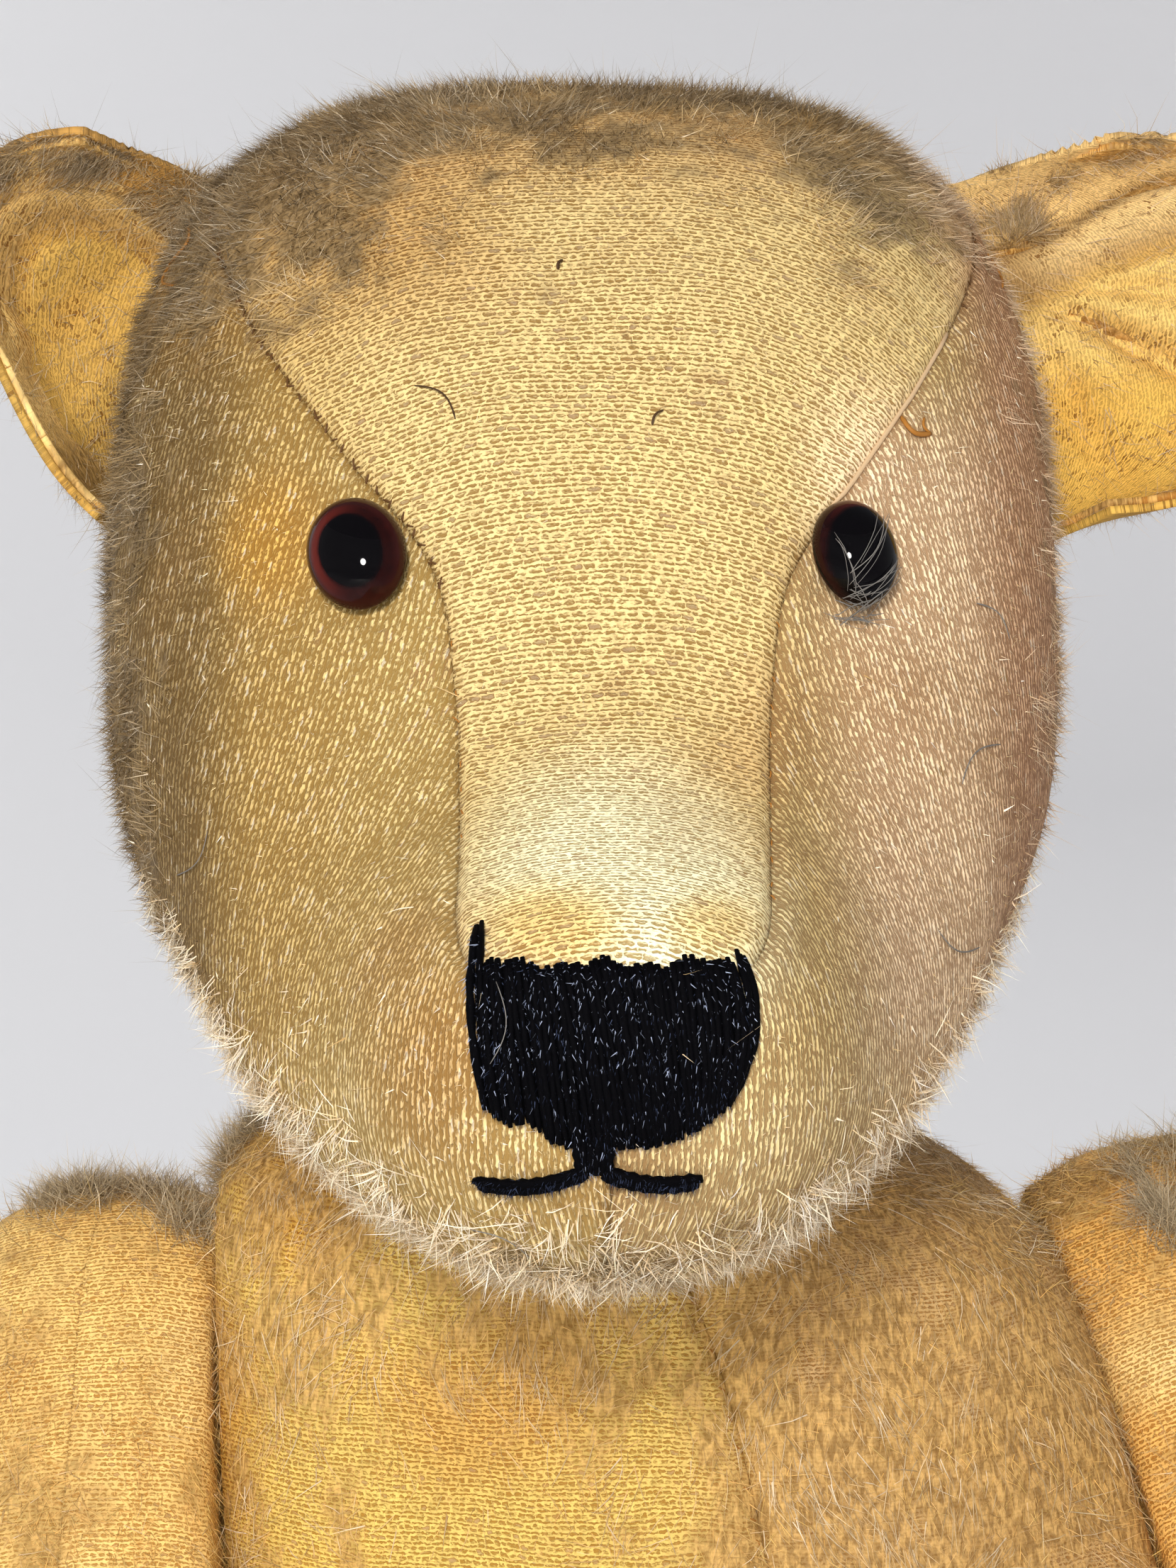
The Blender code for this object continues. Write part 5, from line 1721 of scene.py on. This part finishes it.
# Each row: the gusset's side, the part of its seam, and the gap between stitches.
BROWN_ROWS = ((-1, (0.26, 0.46), 2.1), (-1, (0.46, 0.6), 4.2), (1, (0.44, 0.6), 3.6))
AMBER_ROWS = (
    (-1, (0.14, 0.24), 3.2), (1, (0.1, 0.26), 3.4), (-1, (0.62, 0.95), 4.0), (1, (0.62, 0.95), 4.0),
)
brown, amber = bmesh.new(), bmesh.new()
for side, span, gap in BROWN_ROWS:
    sew(brown, head_skin, seam_paths[side], span, gap, 1.15, 0.1, 45 * side)
    sew(brown, head_skin, seam_paths[side], span, gap * 1.5, 1.0, 0.09, -50 * side)
for side, span, gap in AMBER_ROWS:
    sew(amber, head_skin, seam_paths[side], span, gap, 0.8, 0.07, 20)
chest_seam = [Vector(torso_ring(r, np.array([0.0]))[0]) for r in np.linspace(1.6, 12, 90)]
body_stitches = bmesh.new()
sew(body_stitches, skin_of(torso_cloths.values()), chest_seam, (0.03, 0.97), 3.6, 0.9, 0.08, 30)

# The gusset's edge stands out as a ridge above the left eye, between two heights.
RIDGE_LOW, RIDGE_HIGH = 214, 232
ridge, raised = bmesh.new(), []
for point in seam_paths[1]:
    if RIDGE_LOW < point.z < RIDGE_HIGH:
        spot, normal, *_ = head_skin.find_nearest(point)
        raised.append((spot + normal * random.uniform(0.0, 0.12), normal))
add_strand(ridge, raised, 0.2, 0)
# The ridge's pale grey is partly the worn edge's own colour and partly a painted highlight along it.
ridge_thread_and_highlight = thread_material("worn_seam_edge", (176, 142, 104), (232, 204, 164))
finish_strands(ridge, "gusset_seam_edge", ridge_thread_and_highlight, "head")
brown_thread = thread_material("brown_thread", (62, 38, 16), (112, 76, 36))
amber_thread = thread_material("amber_thread", (132, 82, 30), (190, 130, 54))
finish_strands(brown, "gusset_stitches_brown", brown_thread, "head")
finish_strands(body_stitches, "chest_stitches", amber_thread, "torso")

# Loops of thread, then hairs. Each row: where it starts and ends, in x and z, how far it bows,
# its radius, and how far it stands off the cloth.
AMBER_LOOPS = (
    ((-39.5, 245.5), (-41.0, 241.5), 1.4, 0.16, 0.15),
    ((-41.0, 241.5), (-39.8, 238.0), -1.2, 0.14, 0.15),
    ((27.6, 222.8), (30.4, 221.4), -0.9, 0.22, 0.15),
    ((30.4, 221.4), (29.8, 222.8), 0.5, 0.14, 0.15),
    ((40.4, 243.0), (41.6, 239.5), 1.2, 0.16, 0.15),
)
DARK_HAIRS = (
    ((-15.6, 224.8), (-12.0, 221.6), 1.0, 0.07, 0.25),
    ((5.0, 221.0), (6.0, 222.4), 0.3, 0.09, 0.25),
    ((-3.0, 236.0), (-2.6, 237.0), 0.2, 0.12, 0.25),
)
PALE_HAIRS = (
    ((-8.0, 176.5), (-8.4, 171.0), 0.9, 0.03, 1.6), ((31.5, 190.0), (36.0, 193.5), 1.2, 0.06, 0.3),
    ((28.0, 178.0), (33.0, 176.0), -1.0, 0.06, 0.3), ((34.0, 206.0), (37.5, 203.0), 0.9, 0.06, 0.3),
    ((-33.0, 186.0), (-36.5, 182.0), 1.0, 0.05, 0.3), ((-10.0, 158.0), (-5.5, 155.5), 0.8, 0.06, 0.3),
)
hairs, pale_hairs = bmesh.new(), bmesh.new()
for mesh, sides, rows in ((amber, 6, AMBER_LOOPS), (hairs, 4, DARK_HAIRS), (pale_hairs, 4, PALE_HAIRS)):
    for row in rows:
        hair(mesh, head_skin, sides, *row)
dark_hair = thread_material("dark_hair", (46, 30, 16), (86, 60, 34))
finish_strands(amber, "gusset_stitches_amber", amber_thread, "head")
finish_strands(hairs, "dark_hairs", dark_hair, "head")


def over_eye(x, z):
    """The distance the left eye's glass stands out of the face at x and z from its middle."""
    inside = 1 - (x / (EYE_RADIUS * EYE_WIDE)) ** 2 - (z / (EYE_RADIUS * EYE_TALL)) ** 2
    return GAP + EYE_RIM + (EYE_DEPTH - EYE_RIM) * math.sqrt(inside) if inside > 0 else 0.3


# Strands of lint: start and end from the middle of the eye, how many, and how far they spread.
LINT = (
    ((-1.3, -3.2), (1.5, 2.0), 5, 0.55), ((-0.8, -4.2), (3.2, -1.6), 7, 0.7),
    ((-1.4, -4.6), (1.6, -4.9), 16, 0.7), ((-3.0, 0.6), (-1.2, -3.8), 3, 0.4),
)
lint, eye_normal = bmesh.new(), on_face(*EYE_LEFT)[1]
for start, end, count, spread in LINT:
    for _ in range(count):
        ends = [Vector([at + random.gauss(0, spread) for at in place]) for place in (start, end)]
        bow = random.gauss(0.4, 0.3)
        strand = []
        for k in range(11):
            f = k / 10
            flat = ends[0].lerp(ends[1], f) + Vector((0.7, -0.7)) * bow * math.sin(math.pi * f)
            point, _ = on_face(EYE_LEFT[0] + flat.x, EYE_LEFT[1] + flat.y)
            lift = over_eye(*flat) + 0.12 + random.uniform(0, 0.1)
            strand.append((point + eye_normal * lift, eye_normal))
        add_strand(lint, strand, random.uniform(0.018, 0.04), 0, 4)
lint_thread = thread_material("grey_lint", (84, 82, 80), (146, 142, 136))
finish_strands(lint, "eye_lint", lint_thread, "head")
finish_strands(pale_hairs, "pale_hairs", lint_thread, "head")


# Inside. Wood-wool stuffing, hardboard joint discs, steel cotter pins and the eyes' wire shanks
# keep the plain shapes of the solids, each with a material of its own.

def inner_material(name, dark, bright, scale, roughness, metallic=0.0, stretch=1.0):
    made, nodes = new_material(name, roughness, Metallic=metallic)
    placed = nodes.stretched(nodes.new("TexCoord").outputs["Object"], 1, 1, stretch)
    grain = nodes.noise(scale, 5, placed, 1.2)
    colour = nodes.mix(nodes.ramp(grain, 0.35, 0.65), linear(*dark), linear(*bright))
    nodes.surface(colour, grain, 0.6, 0.0004)
    return made


INNER = (
    ("stuffing", inner_material("wood_wool", (150, 116, 66), (226, 200, 148), 260, 0.85, 0, 4)),
    ("disc", inner_material("hardboard", (92, 62, 38), (134, 96, 62), 500, 0.7)),
    ("pin", inner_material("pin_steel", (120, 118, 114), (176, 174, 170), 300, 0.38, 1.0)),
    ("shank", inner_material("shank_steel", (110, 106, 100), (160, 156, 150), 300, 0.42, 1.0)),
)
for node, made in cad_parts.items():
    for kind, material in INNER:
        if kind in node:
            made.data.materials.clear()
            made.data.materials.append(material)
